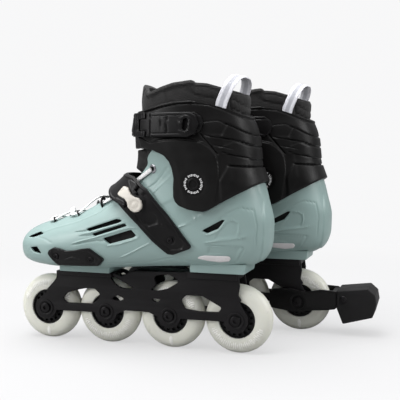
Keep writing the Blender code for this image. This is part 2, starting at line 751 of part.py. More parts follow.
def hub_mesh(place):
    bore = BEARING_RADIUS + 0.7
    rim = TYRE_BORE_RADIUS - 0.5
    half = [(bore, HUB_HALF_WIDTH - 0.1), (bore + 3, HUB_HALF_WIDTH - 0.1), (rim, 10.4)]
    profile = half + [(radius, -y) for radius, y in reversed(half)]
    return turned(profile[::-1], 14, place)


def bearing_mesh(place):
    bore = AXLE_RADIUS + 0.5
    spacer = 6.0
    inner = HUB_HALF_WIDTH - BEARING_WIDTH
    half = [
        (bore, HUB_HALF_WIDTH), (BEARING_RADIUS, HUB_HALF_WIDTH),
        (BEARING_RADIUS, inner), (spacer, inner),
    ]
    profile = half + [(radius, -y) for radius, y in reversed(half)]
    return turned(profile[::-1], 12, place)


def axle_mesh(place, wall_face):
    head = wall_face + GAP
    top = head + AXLE_HEAD_HEIGHT
    half = [(0, top), (AXLE_HEAD_RADIUS - 0.8, top), (AXLE_HEAD_RADIUS, head), (AXLE_RADIUS, head)]
    profile = half + [(radius, -y) for radius, y in reversed(half)]
    return turned(profile[::-1], 8, place, math.pi / 8)


# ---------------------------------------------------------------- brake
def brake_arm_mesh():
    """A fork outside both frame walls, on the rear axle, closed behind the wheel by the pad's carrier."""
    inner = FRAME_INSIDE + FRAME_WALL + GAP
    outer = inner + BRAKE_ARM_WALL
    rear_axle = axle_places()[-1]
    mesh = None
    for side in (-1, 1):
        low, high = sorted((side * inner, side * outer))
        arm = side_prism([BRAKE_ARM_SIDE], low, high)
        mesh = arm if mesh is None else join(mesh, arm)
    low_x, high_x, low_z, high_z = BRAKE_CARRIER
    mesh = join(mesh, box((low_x, -inner - 1, low_z), (high_x, inner + 1, high_z)))
    return cut(mesh, rod(AXLE_RADIUS + 0.6, -40, 40, rear_axle, 8))


def brake_pad_mesh():
    mesh = side_prism([BRAKE_PAD_SIDE], -BRAKE_PAD_HALF_WIDTH, BRAKE_PAD_HALF_WIDTH)
    item = temporary(mesh)
    bevel = item.modifiers.new("edges", "BEVEL")
    bevel.width = 1.5 * MM
    bevel.segments = 1
    bevel.limit_method = "ANGLE"
    bevel.angle_limit = math.radians(60)
    return mesh_of(item)


# ---------------------------------------------------------------- the pair
def build():
    clear_scene()
    group = bpy.data.collections.new("inline_skates")
    bpy.context.scene.collection.children.link(group)
    colours = make_materials()
    half = SKATE_SPACING / 2
    skates = [
        Skate("left", ROW_SHIFT, -half, False, group),
        Skate("right", ROW_SHIFT + RIGHT_SKATE_SET_BACK, half, True, group),
    ]
    frame_face = FRAME_INSIDE + FRAME_WALL
    slider = skin(SHELL_SECTIONS, STRAP_CLEARANCE, SLIDER_WALL, outer_prism(SLIDER_SIDE))
    fixed = [
        ("shell", shell_mesh(), "shell"),
        ("liner", liner_mesh(), "liner"),
        ("frame", frame_mesh(), "frame"),
        ("slider", slider, "black_plastic"),
        ("instep_strap", instep_strap_mesh(), "black_plastic"),
        ("laces", lace_mesh(), "lace"),
        ("outer_pivot", pivot_mesh(-1), "black_plastic"),
        ("inner_pivot", pivot_mesh(1), "black_plastic"),
    ]
    strap_side = through_prism(ANKLE_STRAP_SIDE)
    ankle_strap = skin(CUFF_SECTIONS, STRAP_CLEARANCE, ANKLE_STRAP_WALL, strap_side)
    on_cuff = [
        ("cuff", cuff_mesh(), "black_plastic"),
        ("ankle_strap", ankle_strap, "black_plastic"),
        ("pull_loop", pull_loop_mesh(), "webbing"),
    ]
    buckle = ankle_buckle_mesh()
    latch = instep_latch_mesh()
    for skate in skates:
        for name, mesh, material in fixed:
            skate.add(name, mesh, colours[material])
        cuff_axis = skate.axis("cuff_axis", PIVOT_X, 0, PIVOT_Z)
        for name, mesh, material in on_cuff:
            skate.add(name, mesh, colours[material], cuff_axis)
        buckle_axis = skate.axis("ankle_buckle_axis", *BUCKLE_HINGE)
        skate.add("ankle_buckle", buckle, colours["black_plastic"], buckle_axis)
        latch_axis = skate.axis("instep_latch_axis", *LATCH_HINGE)
        skate.add("instep_latch", latch, colours["latch"], latch_axis)
        for number, place in enumerate(axle_places(), 1):
            axis = skate.axis(f"wheel_{number}_axis", place[0], 0, place[1])
            skate.add(f"tyre_{number}", tyre_mesh(place), colours["tyre"], axis)
            skate.add(f"hub_{number}", hub_mesh(place), colours["hub"], axis)
            skate.add(f"bearings_{number}", bearing_mesh(place), colours["steel"], axis)
            braked = skate.side == "right" and number == 4
            face = frame_face + (GAP + BRAKE_ARM_WALL if braked else 0)
            skate.add(f"axle_{number}", axle_mesh(place, face), colours["dark_steel"], axis)
        if skate.side == "right":
            skate.add("brake_arm", brake_arm_mesh(), colours["black_plastic"])
            skate.add("brake_pad", brake_pad_mesh(), colours["rubber"])


build()
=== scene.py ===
import math

import bmesh
import bpy
import numpy as np
from mathutils import Matrix, Vector
from mathutils.bvhtree import BVHTree


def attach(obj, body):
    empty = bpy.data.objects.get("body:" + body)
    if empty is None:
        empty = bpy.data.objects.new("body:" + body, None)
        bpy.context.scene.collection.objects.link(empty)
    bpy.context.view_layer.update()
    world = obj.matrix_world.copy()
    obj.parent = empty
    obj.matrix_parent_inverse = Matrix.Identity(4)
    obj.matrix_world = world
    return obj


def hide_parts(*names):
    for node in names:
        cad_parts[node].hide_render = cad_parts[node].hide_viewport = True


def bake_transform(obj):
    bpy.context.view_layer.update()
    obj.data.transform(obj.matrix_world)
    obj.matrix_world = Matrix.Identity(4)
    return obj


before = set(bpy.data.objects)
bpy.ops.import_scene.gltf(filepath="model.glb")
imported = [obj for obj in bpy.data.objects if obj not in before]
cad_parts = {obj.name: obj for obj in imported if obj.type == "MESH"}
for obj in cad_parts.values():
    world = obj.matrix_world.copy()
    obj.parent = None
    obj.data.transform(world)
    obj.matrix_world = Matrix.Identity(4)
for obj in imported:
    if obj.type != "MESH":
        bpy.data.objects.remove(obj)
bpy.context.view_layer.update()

# Lengths are in millimetres until a piece is placed. Every piece is made once, for the left skate, in that
# skate's own frame: toe towards -X, outer side towards -Y, X = 0 midway along the wheelbase, Z = 0 on the
# floor.
MM = 0.001
SKATES = {"left": (-52.75, -67.5, 1), "right": (-6.75, 67.5, -1)}  # x, y, and -1 where mirrored
WELD = 0.002  # points closer than this become one
SHARP_EDGE = 32  # degrees
CLEAR = 90.0  # further out than any piece reaches
OUTER_SIDE = (-CLEAR, -10)  # across the skate, for pieces on its outer side only
BOTH_SIDES = (-CLEAR, CLEAR)

SHELL_WALL = 3.5
SOLE_RISE = 2.0  # extra thickness under the foot
CUFF_WALL = 3.5
LINER_PADDING = 7.0
STRAP_RISE = 6.0  # how much higher the instep strap stands over the laces

# ---------------------------------------------------------------- boot sections
# top x, top z, bottom x, bottom z, half width, shift towards the inner side
SHELL_SECTIONS = [
    (-152.5, 122, -152.5, 112, 14, 5), (-150.5, 130, -148, 104, 27, 5), (-143, 137.5, -139, 98, 38, 5),
    (-128, 144.5, -122, 94.5, 46, 4.5), (-101, 152, -97, 93, 51, 3), (-73, 160, -66, 93, 53, 1.5),
    (-49, 172, -34, 94, 51.5, 0), (-29, 184, 0, 96.5, 48.5, 0), (-14, 196, 36, 98.5, 46, 0),
    (-6, 205, 75, 100, 44.5, 0), (-1, 213, 112, 100.5, 43.5, 0), (0, 222, 138, 103.5, 43, 0),
    (1, 231, 153, 114, 43, 0), (1.5, 239, 159, 132, 44, 0), (1.5, 247, 159.5, 150, 45.5, 0),
    (1.5, 255, 155, 172, 46, 0), (1.5, 262, 148.5, 196, 46, 0), (1.5, 268, 141, 212, 45.5, 0),
    (1.5, 274, 134, 226, 45.5, 0),
]
CUFF_SECTIONS = [
    (-4, 214, 158, 112, 49, 0), (-3, 232, 165, 138, 49.8, 0), (-3, 240, 164.5, 158, 50.6, 0),
    (-3, 246, 160, 180, 51, 0), (-3, 251, 152.5, 200, 51.3, 0), (-3, 256, 147, 217, 51.3, 0),
    (-2, 262, 145, 236, 51, 0), (-1, 268, 142.5, 254, 50.5, 0), (0, 276, 136, 273, 49.5, 0),
    (3, 290, 131, 294, 48.5, 0),
]
LINER_SECTIONS = [
    (-145, 122, -145, 112, 10, 5), (-137, 133, -134, 104, 28, 5), (-101, 145, -97, 100.5, 44, 3),
    (-47, 164, -34, 101.5, 44.5, 0), (-9, 189, 36, 106, 39, 0), (5, 212, 110, 108.5, 36.5, 0),
    (7, 232, 147, 122, 37, 0), (7, 248, 152, 156, 39.5, 0), (7, 260, 140.5, 196, 40.5, 0),
    (6, 272, 131.5, 234, 42.5, 0), (5, 290, 132, 272, 43, 0), (9, 322, 134, 318, 42, 0),
]

# ---------------------------------------------------------------- side-view outlines (x, z)
SHELL_SIDE = [
    (-170, 60), (-170, 240), (-40, 240), (-8, 201), (2, 206.5), (13, 219), (27, 233), (36, 243),
    (50, 244), (85, 236), (120, 224), (170, 205), (170, 60),
]
THROAT_PLAN = [
    (-113, -4), (-108, -8), (-75, -13), (-39, -16), (-5, -20), (25, -32), (60, -32),
    (60, 32), (25, 32), (-5, 20), (-39, 16), (-75, 13), (-108, 8), (-113, 4),
]
VENTS = [
    [(-50, 142.6), (-13, 155.3), (-8.5, 155), (-5, 153.4), (-10, 150.8), (-45.5, 140.2)],
    [(-42, 137.6), (-4.3, 150), (-1.8, 150.3), (1.2, 147.7), (-38.2, 135)],
    [(-28.5, 132.7), (3.4, 142.8), (6.2, 143.4), (12.4, 137.2), (9, 134.8), (-20.2, 126.5)],
    [(-136.5, 128.8), (-117, 136.4), (-108.9, 134.7), (-126.5, 128.9)],
    [(-128.5, 117.6), (-117, 119.2), (-109, 110.2), (-122.5, 112.4)],
    [(88.5, 144.6), (112, 157.5), (116, 157.5), (108, 147.4), (95.6, 142.2)],
]
CUFF_SIDE = [
    (-20, 235), (20, 236), (33, 233.5), (46.3, 228.6), (53.5, 221.3), (57, 213), (58.8, 203), (58, 192),
    (58, 182.5), (60, 177), (64.5, 172.5), (74, 169), (84, 167.2), (93, 166.4), (98, 168), (116, 178.3),
    (135, 188.5), (170, 208),
    (170, 262), (139, 270), (116, 279), (103, 283), (78, 288), (56, 287), (40, 284), (19, 279),
    (-20, 276),
]
LINER_SIDE = [
    (-170, 60), (-170, 311), (8, 311), (15, 306), (21, 300), (27, 300), (40, 304.5), (56, 308.8),
    (78, 311), (80, 308.3), (95, 307), (112, 302), (125, 297), (170, 290), (170, 60),
]
SLIDER_SIDE = [
    (-99, 112.5), (-96.5, 116.5), (-89.5, 120.3), (-82, 119.4), (-73.5, 117.2), (-62, 118.2),
    (-53.5, 120.3), (-43, 121.3), (-27, 109.4), (-28, 106.5), (-35, 99.9), (-87, 98.5),
]
STRAP_SIDE = [
    (49.5, 117), (56, 116.5), (74.5, 123.5), (77, 126), (76, 129), (62.5, 146.5), (49.5, 162.5),
    (25, 189.5), (16, 196), (6, 203.5), (-15, 207.5), (-36, 204), (-33, 190), (-22, 179),
    (-10, 173.5), (-4, 168), (11, 153.5), (32, 132),
]
LATCH_SIDE = [
    (8.5, 166), (13, 164), (17.5, 165), (21, 168.5), (21.5, 172.5), (20, 177), (16.5, 180), (12, 181),
    (7.5, 183.5), (5, 186.5), (2, 191), (-4.5, 193), (-11, 184), (-5, 181), (0, 179), (3.5, 174.5),
    (4.5, 170),
]
ANKLE_STRAP_SIDE = [(-20, 250.5), (84, 250.5), (92, 256), (94, 263), (92, 270), (84, 275.5), (-20, 275.5)]
LEVER_SIDE = [
    (18.8, 256), (27.4, 256), (27.4, 249.3), (78, 248.5), (87, 252.5), (90.5, 262), (87, 271.5), (80, 275),
    (27.4, 275.5), (27.4, 268), (18.8, 268),
]
FINGER_SLOT = [(72, 257), (75, 255), (78, 257), (79, 267), (76, 269.5), (73, 267)]
PIVOT = (83.0, 197.0)

# ---------------------------------------------------------------- features on the surfaces
# (side-view line, half width, height; negative for a groove)
SHELL_LINES = [
    ([(-46, 141.2), (-55, 140), (-64, 138.6)], 1.4, -1.1),
    ([(-40, 136), (-48, 135.6), (-57, 134.6)], 1.4, -1.1),
    ([(-24, 129.5), (-35, 130), (-49.3, 127.6), (-66, 123.6)], 1.6, -1.1),
    ([(-0.6, 151.2), (-9, 149.6), (-26.4, 144), (-45, 138.5), (-56, 136.9)], 1.1, 0.7),
    ([(19, 146.2), (1.5, 145.4), (-35.1, 134.2), (-49.4, 130.3), (-67, 125.5)], 1.3, 0.9),
    ([(-27, 129.3), (-26.2, 127.3), (-21.2, 124.3), (-7.4, 126.9), (13.5, 133.7), (16.2, 136.9),
      (10.2, 144)], 1.2, 1.0),
    ([(23.4, 190.8), (32.9, 196.6), (50.6, 216.6)], 1.8, -0.8),
    ([(28.9, 184.4), (42.7, 196.8), (56, 207.5)], 1.8, 1.0),
    ([(58.5, 145), (70, 151.4), (81.3, 158), (95.9, 166.2), (118, 178.5)], 1.7, 1.2),
    ([(89.5, 143), (95.6, 139.6), (109, 145.4), (118, 156)], 1.1, 0.9),
    ([(103.3, 154.9), (117.5, 164.4), (132.2, 170.9), (146, 168), (149, 150), (147, 125)], 1.4, -0.8),
    ([(90.5, 131.3), (109.4, 134.2), (131.7, 137.3), (141, 139.5)], 1.1, 1.0),
    ([(92.3, 128.5), (109.1, 128.1), (131.2, 126.5), (138, 125.5)], 1.1, -1.0),
    ([(118.2, 156.6), (126.3, 157.2), (130.6, 154.4), (131.4, 147.1), (129.4, 140.6)], 1.1, 0.8),
    ([(-9, 110.5), (3.7, 116.2), (16.7, 122.9), (30.6, 129.9)], 1.2, 1.0),
    ([(-31, 101.5), (20, 105), (50.3, 112.2), (73.4, 109), (100, 105), (129, 105.5), (148, 108)], 1.3, -0.6),
    ([(136, 126), (128, 113), (121, 106)], 1.2, -0.8),
    ([(-122.7, 130.9), (-105.2, 128.7), (-93.9, 124.1)], 1.6, -0.5),
    ([(-115, 134.8), (-96.7, 141.2), (-66, 149.5), (-40, 160), (-14, 178)], 1.6, 0.5),
]
SHELL_PANELS = [  # (outline, height, edge width)
    ([(117, 155.5), (125.5, 156), (129.4, 153.4), (130, 147), (128, 139.5), (104, 136), (110, 146)],
     -0.6, 1.8),
    ([(97, 127), (131, 125.3), (124.5, 112), (121, 108.5), (108, 119), (95, 119)], -0.7, 1.8),
    ([(31, 184.8), (44, 196), (57, 206), (57, 190), (59, 180), (40, 172)], 0.6, 3.0),
]
HEEL_RIB = [
    (145, 200), (149, 188), (152.6, 178), (154.4, 158), (154.4, 138), (152.4, 122), (146, 104), (175, 104),
    (175, 200),
]
CUFF_LINES = [
    ([(89.2, 262.9), (96.9, 265), (107.5, 266.1), (122.7, 261.8)], 1.0, -0.6),
    ([(112, 264.6), (121.8, 260.7), (132.4, 254.7), (142.3, 250.5), (165, 240)], 1.5, -1.6),
    ([(93, 250.6), (98.4, 249.5), (113.3, 247.3), (128.2, 244.6), (143, 238.5), (165, 228)], 1.2, -1.3),
    ([(103, 239.6), (118.6, 236.8), (125, 234.8)], 1.0, -1.0),
    ([(110, 232.8), (123.8, 229), (137, 225.6), (150, 221), (165, 216)], 1.2, -1.4),
    ([(88, 254.4), (91.7, 250.1), (99.6, 241.2), (110.5, 228)], 1.3, -1.6),
    ([(118, 217.5), (132.1, 216.2), (146.4, 215.4), (170, 215)], 1.6, -1.8),
    ([(20, 275.4), (43.2, 281), (61.9, 284), (79.6, 284.8), (98.4, 282.8), (110, 279), (140, 266)],
     1.1, -0.8),
    ([(29.9, 243.4), (46.4, 245.6), (63.8, 246.4), (80.4, 245.2), (92.6, 242.6), (101, 237)], 1.1, 0.8),
]
CUFF_PANELS = [
    ([(10, 250), (29.9, 242), (46.4, 244.7), (63.8, 245.4), (80.4, 244), (91.8, 241.8), (99.6, 236.8),
      (106.3, 229.1), (108.5, 224.6), (110.5, 210.3), (110.1, 199.2), (109.1, 188.1), (104, 160), (50, 150),
      (30, 200)], 1.2, 1.5),
    ([(37, 244), (60, 250), (115, 250), (125, 200), (110, 150), (76, 160), (71, 176), (67, 190), (65, 203),
      (60, 222)], 0.8, 6.0),
    ([(118, 261.5), (132.4, 254.5), (142.3, 250), (175, 236), (175, 224), (143, 238.5), (128.2, 244.6),
      (112, 248)], 0.9, 1.6),
    ([(110, 236), (125, 243), (143, 237), (175, 224), (175, 212), (137, 225), (123.8, 229), (111, 232)],
     0.6, 1.6),
    ([(120, 216), (146, 214.6), (178, 214), (178, 200), (150, 197), (132, 188), (114, 178), (112, 200)],
     1.3, 3.0),
    ([(20, 277), (43, 282.4), (62, 285.4), (80, 286.2), (99, 284.2), (111, 280.4), (142, 267), (142, 300),
      (20, 300)], 0.9, 1.2),
]
LINER_LINES = [
    ([(67.5, 309), (69.2, 305.8), (75.2, 299.5), (82.2, 294.4), (92.4, 292.6), (106, 291)], 1.6, -1.5),
    ([(79, 303), (95, 302.5), (112, 297)], 1.8, -0.9),
    ([(112, 302), (118, 290), (120, 270)], 1.5, -1.2),
    ([(119, 290.5), (123.2, 288.4), (131.1, 282.9), (150, 281)], 1.5, -1.6),
    ([(118, 281), (121.3, 279.4), (131.4, 273.4), (150, 272)], 1.5, -1.6),
    ([(121, 298.5), (126, 296.3), (140, 293)], 1.5, -1.4),
    ([(10, 285), (13, 297), (17, 307)], 1.3, -1.0),
]
LINER_PANELS = [
    ([(19, 294), (21, 301), (40, 306.5), (56, 311), (72, 315), (79, 315), (79, 306.3), (60.7, 304.6),
      (42.7, 300), (25, 294.5)], 1.7, 1.0),
    ([(69, 306), (75.2, 299.5), (82.2, 294.4), (92.4, 292.6), (113, 290), (112, 330), (69, 330)], 1.2, 5.0),
]
REFLECTOR_SIDE = [
    (82, 112.8), (85, 115.2), (91, 116.6), (118.6, 116.4), (120.2, 113.4), (117.4, 110.2), (107, 108.6),
    (93, 110.2),
]
BRACKETS = [
    [(3.4, 192.4), (6.4, 188.2), (9, 185.2), (13, 182.9), (14.3, 185.6), (11.2, 188.9), (14.8, 192.6),
     (11.5, 197.2), (4, 200.6), (-1, 200)],
    [(-12, 180.6), (-6, 178.6), (-1.4, 176.9), (1.8, 172.9), (-1, 169.6), (-7.5, 173.6), (-13, 177.6)],
]
BUCKLE_BASE_SIDE = [
    (6, 249), (24.8, 248.6), (24.8, 255.3), (15.6, 255.3), (15.6, 268.7), (24.8, 268.7), (24.8, 276),
    (7, 275.5),
]

# ---------------------------------------------------------------- frame, wheels and brake
FRAME_TOP = [
    (129, 62), (124, 69), (126, 80), (125, 86), (124, 93.9), (64, 93.9), (60, 92.8), (-7, 91),
    (-19, 83.5), (-28, 87.3), (-105, 87.3), (-107, 77), (-115, 68), (-122, 61),
]
FRAME_HOLES = [
    [(-99, 52), (-92, 47.5), (-58, 48.5), (-49, 55), (-48, 61), (-55, 67), (-66, 67), (-80, 64), (-92, 60)],
    [(55, 60), (62, 66), (82, 66), (105, 54), (101, 48.5), (78, 48), (60, 50)],
    [(-34, 56), (-25, 61), (-16, 57), (-22, 54)],
    [(18, 59.5), (31, 59.5), (25, 54.5)],
    [(-35, 83), (-31, 84), (-4, 70.5), (-8, 69), (-20, 70), (-28, 74)],
    [(21, 86), (32, 88.5), (40, 89), (49, 85.5), (53, 81), (38, 72), (26, 69), (17, 69.5), (25, 77)],
]
FRAME_INSIDE = 12.4
FRAME_WALL = 4.0
AXLE_BOSS_RADIUS = 14.5
AXLES = [(-121.5, 40.0), (-40.5, 40.0), (40.5, 40.0), (121.5, 40.0)]
BRAKE_ARM_SIDE = [
    (84, 47), (88, 54.5), (110, 57), (133, 53), (150, 57), (171, 56), (171, 33), (158, 31), (110, 27),
    (85, 30.5),
]
BRAKE_PAD_SIDE = [
    (171.5, 57.3), (210, 62.2), (219, 54.5), (221, 43), (216.2, 25.7), (179.6, 15.5), (171.5, 35.7),
]
BRAKE_ARM_WALL = 3.6
BRAKE_PAD_HALF_WIDTH = 24.0
BRAKE_BOLT = (180, 46.5)

# ---------------------------------------------------------------- laces and screws
LACE_DIAMETER = 3.6
LACE_WIDTH, LACE_THICKNESS = 5.4, 2.0
HOOK = (-35, -31)
EYELET_MIDDLE = (-70, 26)
EYELET_TOE = (-104, -22)
TOP_EYELET = (28.5, 212.7)  # (x, z)
TOP_EYELET_RADIUS = 2.7
STRAP_SCREW = (53.6, 133.4)
SLIDER_SCREWS = [(-87.4, 109.5), (-42.3, 108)]


# ================================================================ materials
def srgb(*levels):
    """Levels of 0 to 255 as linear light."""
    return tuple(((c / 255 + 0.055) / 1.055) ** 2.4 if c > 10 else c / 255 / 12.92 for c in levels)


class Finish:
    """A procedural material: a Principled shader, with noise-driven colour, roughness and bump."""

    def __init__(self, name, roughness, metallic=0.0):
        self.material = bpy.data.materials.new(name)
        self.material.use_nodes = True
        self.tree = self.material.node_tree
        self.shader = self.tree.nodes["Principled BSDF"]
        self.shader.inputs["Roughness"].default_value = roughness
        self.shader.inputs["Metallic"].default_value = metallic
        self.place = self.tree.nodes.new("ShaderNodeTexCoord").outputs["Object"]
        self.height = None

    def node(self, kind, **values):
        made = self.tree.nodes.new(kind)
        for name, value in values.items():
            setattr(made, name, value)
        return made

    def noise(self, scale, detail=2.0, vector=None):
        made = self.node("ShaderNodeTexNoise")
        made.inputs["Scale"].default_value = scale
        made.inputs["Detail"].default_value = detail
        self.tree.links.new(vector or self.place, made.inputs["Vector"])
        return made.outputs["Fac"]

    def stretched(self, x, y, z):
        made = self.node("ShaderNodeMapping")
        made.inputs["Scale"].default_value = (x, y, z)
        self.tree.links.new(self.place, made.inputs["Vector"])
        return made.outputs["Vector"]

    def uv(self):
        return self.node("ShaderNodeUVMap", uv_map="weave").outputs["UV"]

    def ramp(self, source, stops):
        made = self.node("ShaderNodeValToRGB")
        elements = made.color_ramp.elements
        while len(elements) < len(stops):
            elements.new(0.5)
        for element, (place, colour) in zip(elements, stops):
            element.position = place
            element.color = (*colour, 1)
        self.tree.links.new(source, made.inputs["Fac"])
        return made.outputs["Color"]

    def colour(self, socket):
        self.tree.links.new(socket, self.shader.inputs["Base Color"])

    def roughness(self, source, low, high):
        made = self.node("ShaderNodeMapRange")
        made.inputs["From Min"].default_value = 0.3
        made.inputs["From Max"].default_value = 0.7
        made.inputs["To Min"].default_value = low
        made.inputs["To Max"].default_value = high
        self.tree.links.new(source, made.inputs["Value"])
        self.tree.links.new(made.outputs["Result"], self.shader.inputs["Roughness"])

    def bump(self, source, strength, distance):
        made = self.node("ShaderNodeBump")
        made.inputs["Strength"].default_value = strength
        made.inputs["Distance"].default_value = distance
        self.tree.links.new(source, made.inputs["Height"])
        if self.height is not None:
            self.tree.links.new(self.height, made.inputs["Normal"])
        self.height = made.outputs["Normal"]
        self.tree.links.new(self.height, self.shader.inputs["Normal"])


def shade(colour, factor):
    return tuple(min(1.0, c * factor) for c in colour)


def plastic(name, colour, low, high, grain=1400.0, grain_strength=0.1, mottle=0.05, shine=0.5):
    """Moulded plastic: faint cloudiness, a fine spark-eroded grain, and uneven gloss."""
    made = Finish(name, (low + high) / 2)
    made.shader.inputs["Specular IOR Level"].default_value = shine
    cloud = made.noise(18, 4)
    made.colour(made.ramp(cloud, [(0.3, shade(colour, 1 - mottle)), (0.7, shade(colour, 1 + mottle))]))
    made.roughness(made.noise(60, 5), low, high)
    made.bump(made.noise(grain, 3), grain_strength, 0.0002)
    return made.material


def make_materials():
    made = {}
    made["shell"] = plastic("sage_plastic", srgb(138, 160, 157), 0.34, 0.48, 1100, 0.10, 0.035)
    made["black"] = plastic("black_moulding", srgb(12, 11, 12), 0.28, 0.42, 1300, 0.14, 0.15, 0.2)
    made["cuff"] = plastic("cuff_moulding", srgb(11, 10, 10), 0.32, 0.48, 1300, 0.16, 0.15, 0.18)
    made["frame"] = plastic("frame_moulding", srgb(14, 12, 14), 0.38, 0.52, 900, 0.14, 0.15, 0.22)
    made["hub"] = plastic("hub_moulding", srgb(17, 17, 18), 0.36, 0.48, 1200, 0.12, 0.1, 0.25)
    made["latch"] = plastic("latch_moulding", srgb(192, 187, 178), 0.32, 0.44, 1200, 0.08, 0.03)
    made["reflector"] = plastic("reflector_moulding", srgb(216, 213, 214), 0.2, 0.3, 1200, 0.04, 0.02)
    made["rubber"] = plastic("brake_rubber_block", srgb(20, 19, 20), 0.5, 0.66, 700, 0.3, 0.15, 0.25)
    made["marks"] = plastic("printed_marks", srgb(200, 200, 200), 0.4, 0.5, 1200, 0.05, 0.03)

    tyre = Finish("cast_urethane", 0.3)
    pearl = srgb(216, 216, 206)
    tyre.colour(tyre.ramp(tyre.noise(26, 4), [(0.3, shade(pearl, 0.95)), (0.7, shade(pearl, 1.03))]))
    tyre.roughness(tyre.noise(80, 4), 0.26, 0.42)
    tyre.bump(tyre.noise(500, 3), 0.06, 0.0002)
    tyre.shader.inputs["Subsurface Weight"].default_value = 0.35
    tyre.shader.inputs["Subsurface Radius"].default_value = (0.9, 0.9, 0.75)
    tyre.shader.inputs["Subsurface Scale"].default_value = 0.006
    made["tyre"] = tyre.material
    made["tyre_marks"] = plastic("urethane_marks", srgb(232, 231, 226), 0.3, 0.42, 900, 0.05, 0.03)

    steel = Finish("turned_steel", 0.3, 1.0)
    grey = srgb(168, 168, 172)
    streaks = steel.noise(90, 3, steel.stretched(1, 30, 1))
    steel.colour(steel.ramp(streaks, [(0.3, shade(grey, 0.85)), (0.7, grey)]))
    steel.roughness(streaks, 0.22, 0.4)
    steel.bump(streaks, 0.08, 0.0001)
    made["steel"] = steel.material

    dark = Finish("blackened_steel", 0.35, 1.0)
    coal = srgb(44, 43, 44)
    dark.colour(dark.ramp(dark.noise(160, 4), [(0.3, shade(coal, 0.75)), (0.7, coal)]))
    dark.roughness(dark.noise(240, 3), 0.28, 0.46)
    dark.bump(dark.noise(1800, 2), 0.1, 0.0001)
    made["dark"] = dark.material

    padding = Finish("liner_textile", 0.75)
    soot = srgb(26, 25, 25)
    padding.colour(padding.ramp(padding.noise(34, 5), [(0.3, shade(soot, 0.8)), (0.7, shade(soot, 1.25))]))
    weave = padding.node("ShaderNodeTexVoronoi")
    weave.inputs["Scale"].default_value = 620
    padding.tree.links.new(padding.place, weave.inputs["Vector"])
    padding.bump(weave.outputs["Distance"], 0.35, 0.0005)
    padding.roughness(padding.noise(120, 3), 0.55, 0.8)
    padding.shader.inputs["Sheen Weight"].default_value = 0.08
    padding.shader.inputs["Specular IOR Level"].default_value = 0.25
    padding.shader.inputs["Sheen Roughness"].default_value = 0.5
    made["liner"] = padding.material

    for name, stops in (
        ("webbing", [(0.0, (222, 222, 228)), (0.25, (226, 226, 232)), (0.36, (176, 177, 184)),
                     (0.64, (180, 181, 188)), (0.75, (226, 226, 232)), (1.0, (222, 222, 228))]),
        ("lace", [(0.0, (226, 226, 226)), (1.0, (236, 236, 236))]),
    ):
        cloth = Finish(f"woven_{name}", 0.8)
        uv = cloth.uv()
        split = cloth.node("ShaderNodeSeparateXYZ")
        cloth.tree.links.new(uv, split.inputs["Vector"])
        cloth.colour(cloth.ramp(split.outputs["X"], [(place, srgb(*colour)) for place, colour in stops]))
        stretch = cloth.node("ShaderNodeMapping")
        stretch.inputs["Scale"].default_value = (24, 1.0, 1)
        cloth.tree.links.new(uv, stretch.inputs["Vector"])
        checks = cloth.node("ShaderNodeTexWave", wave_type="BANDS", bands_direction="DIAGONAL")
        checks.inputs["Scale"].default_value = 1.6
        checks.inputs["Distortion"].default_value = 0.4
        cloth.tree.links.new(stretch.outputs["Vector"], checks.inputs["Vector"])
        cloth.bump(checks.outputs["Fac"], 0.5, 0.0003)
        cloth.bump(cloth.noise(2600, 2), 0.2, 0.0002)
        cloth.roughness(cloth.noise(300, 3), 0.7, 0.9)
        cloth.shader.inputs["Sheen Weight"].default_value = 0.2
        made[name] = cloth.material
    return made


MATERIALS = make_materials()


# ================================================================ meshes
def mesh_from(points, faces, name="piece"):
    mesh = bpy.data.meshes.new(name)
    mesh.from_pydata([tuple(p) for p in points], [], faces)
    mesh.update()
    return mesh


def link(item):
    bpy.context.scene.collection.objects.link(item)
    return item


def mesh_of(bm, name, recalculate=True):
    """The bmesh as a mesh, its faces turned outwards; the bmesh is freed."""
    if recalculate:
        bmesh.ops.recalc_face_normals(bm, faces=bm.faces)
    mesh = bpy.data.meshes.new(name)
    bm.to_mesh(mesh)
    bm.free()
    return mesh


def coordinates(mesh):
    co = np.empty(len(mesh.vertices) * 3)
    mesh.vertices.foreach_get("co", co)
    return co.reshape(-1, 3)


def temporary(data):
    return link(bpy.data.objects.new("temporary", data))


def evaluated(item):
    """The evaluated mesh of a temporary object, in millimetres; the object is removed."""
    bpy.context.view_layer.update()
    depsgraph = bpy.context.evaluated_depsgraph_get()
    mesh = bpy.data.meshes.new_from_object(item.evaluated_get(depsgraph))
    mesh.transform(item.matrix_world)
    bpy.data.objects.remove(item, do_unlink=True)
    bm = bmesh.new()
    bm.from_mesh(mesh)
    bmesh.ops.remove_doubles(bm, verts=bm.verts, dist=WELD)
    bmesh.ops.dissolve_degenerate(bm, edges=bm.edges, dist=WELD)
    bmesh.ops.recalc_face_normals(bm, faces=bm.faces)
    bm.to_mesh(mesh)
    bm.free()
    return mesh


def boolean(base, other, operation, solver="MANIFOLD"):
    target, tool = temporary(base), temporary(other)
    modifier = target.modifiers.new("combine", "BOOLEAN")
    modifier.operation = operation
    modifier.solver = solver
    modifier.object = tool
    mesh = evaluated(target)
    bpy.data.objects.remove(tool, do_unlink=True)
    return mesh


def joined(*meshes):
    bm = bmesh.new()
    for mesh in meshes:
        bm.from_mesh(mesh)
    return mesh_of(bm, "joined", False)


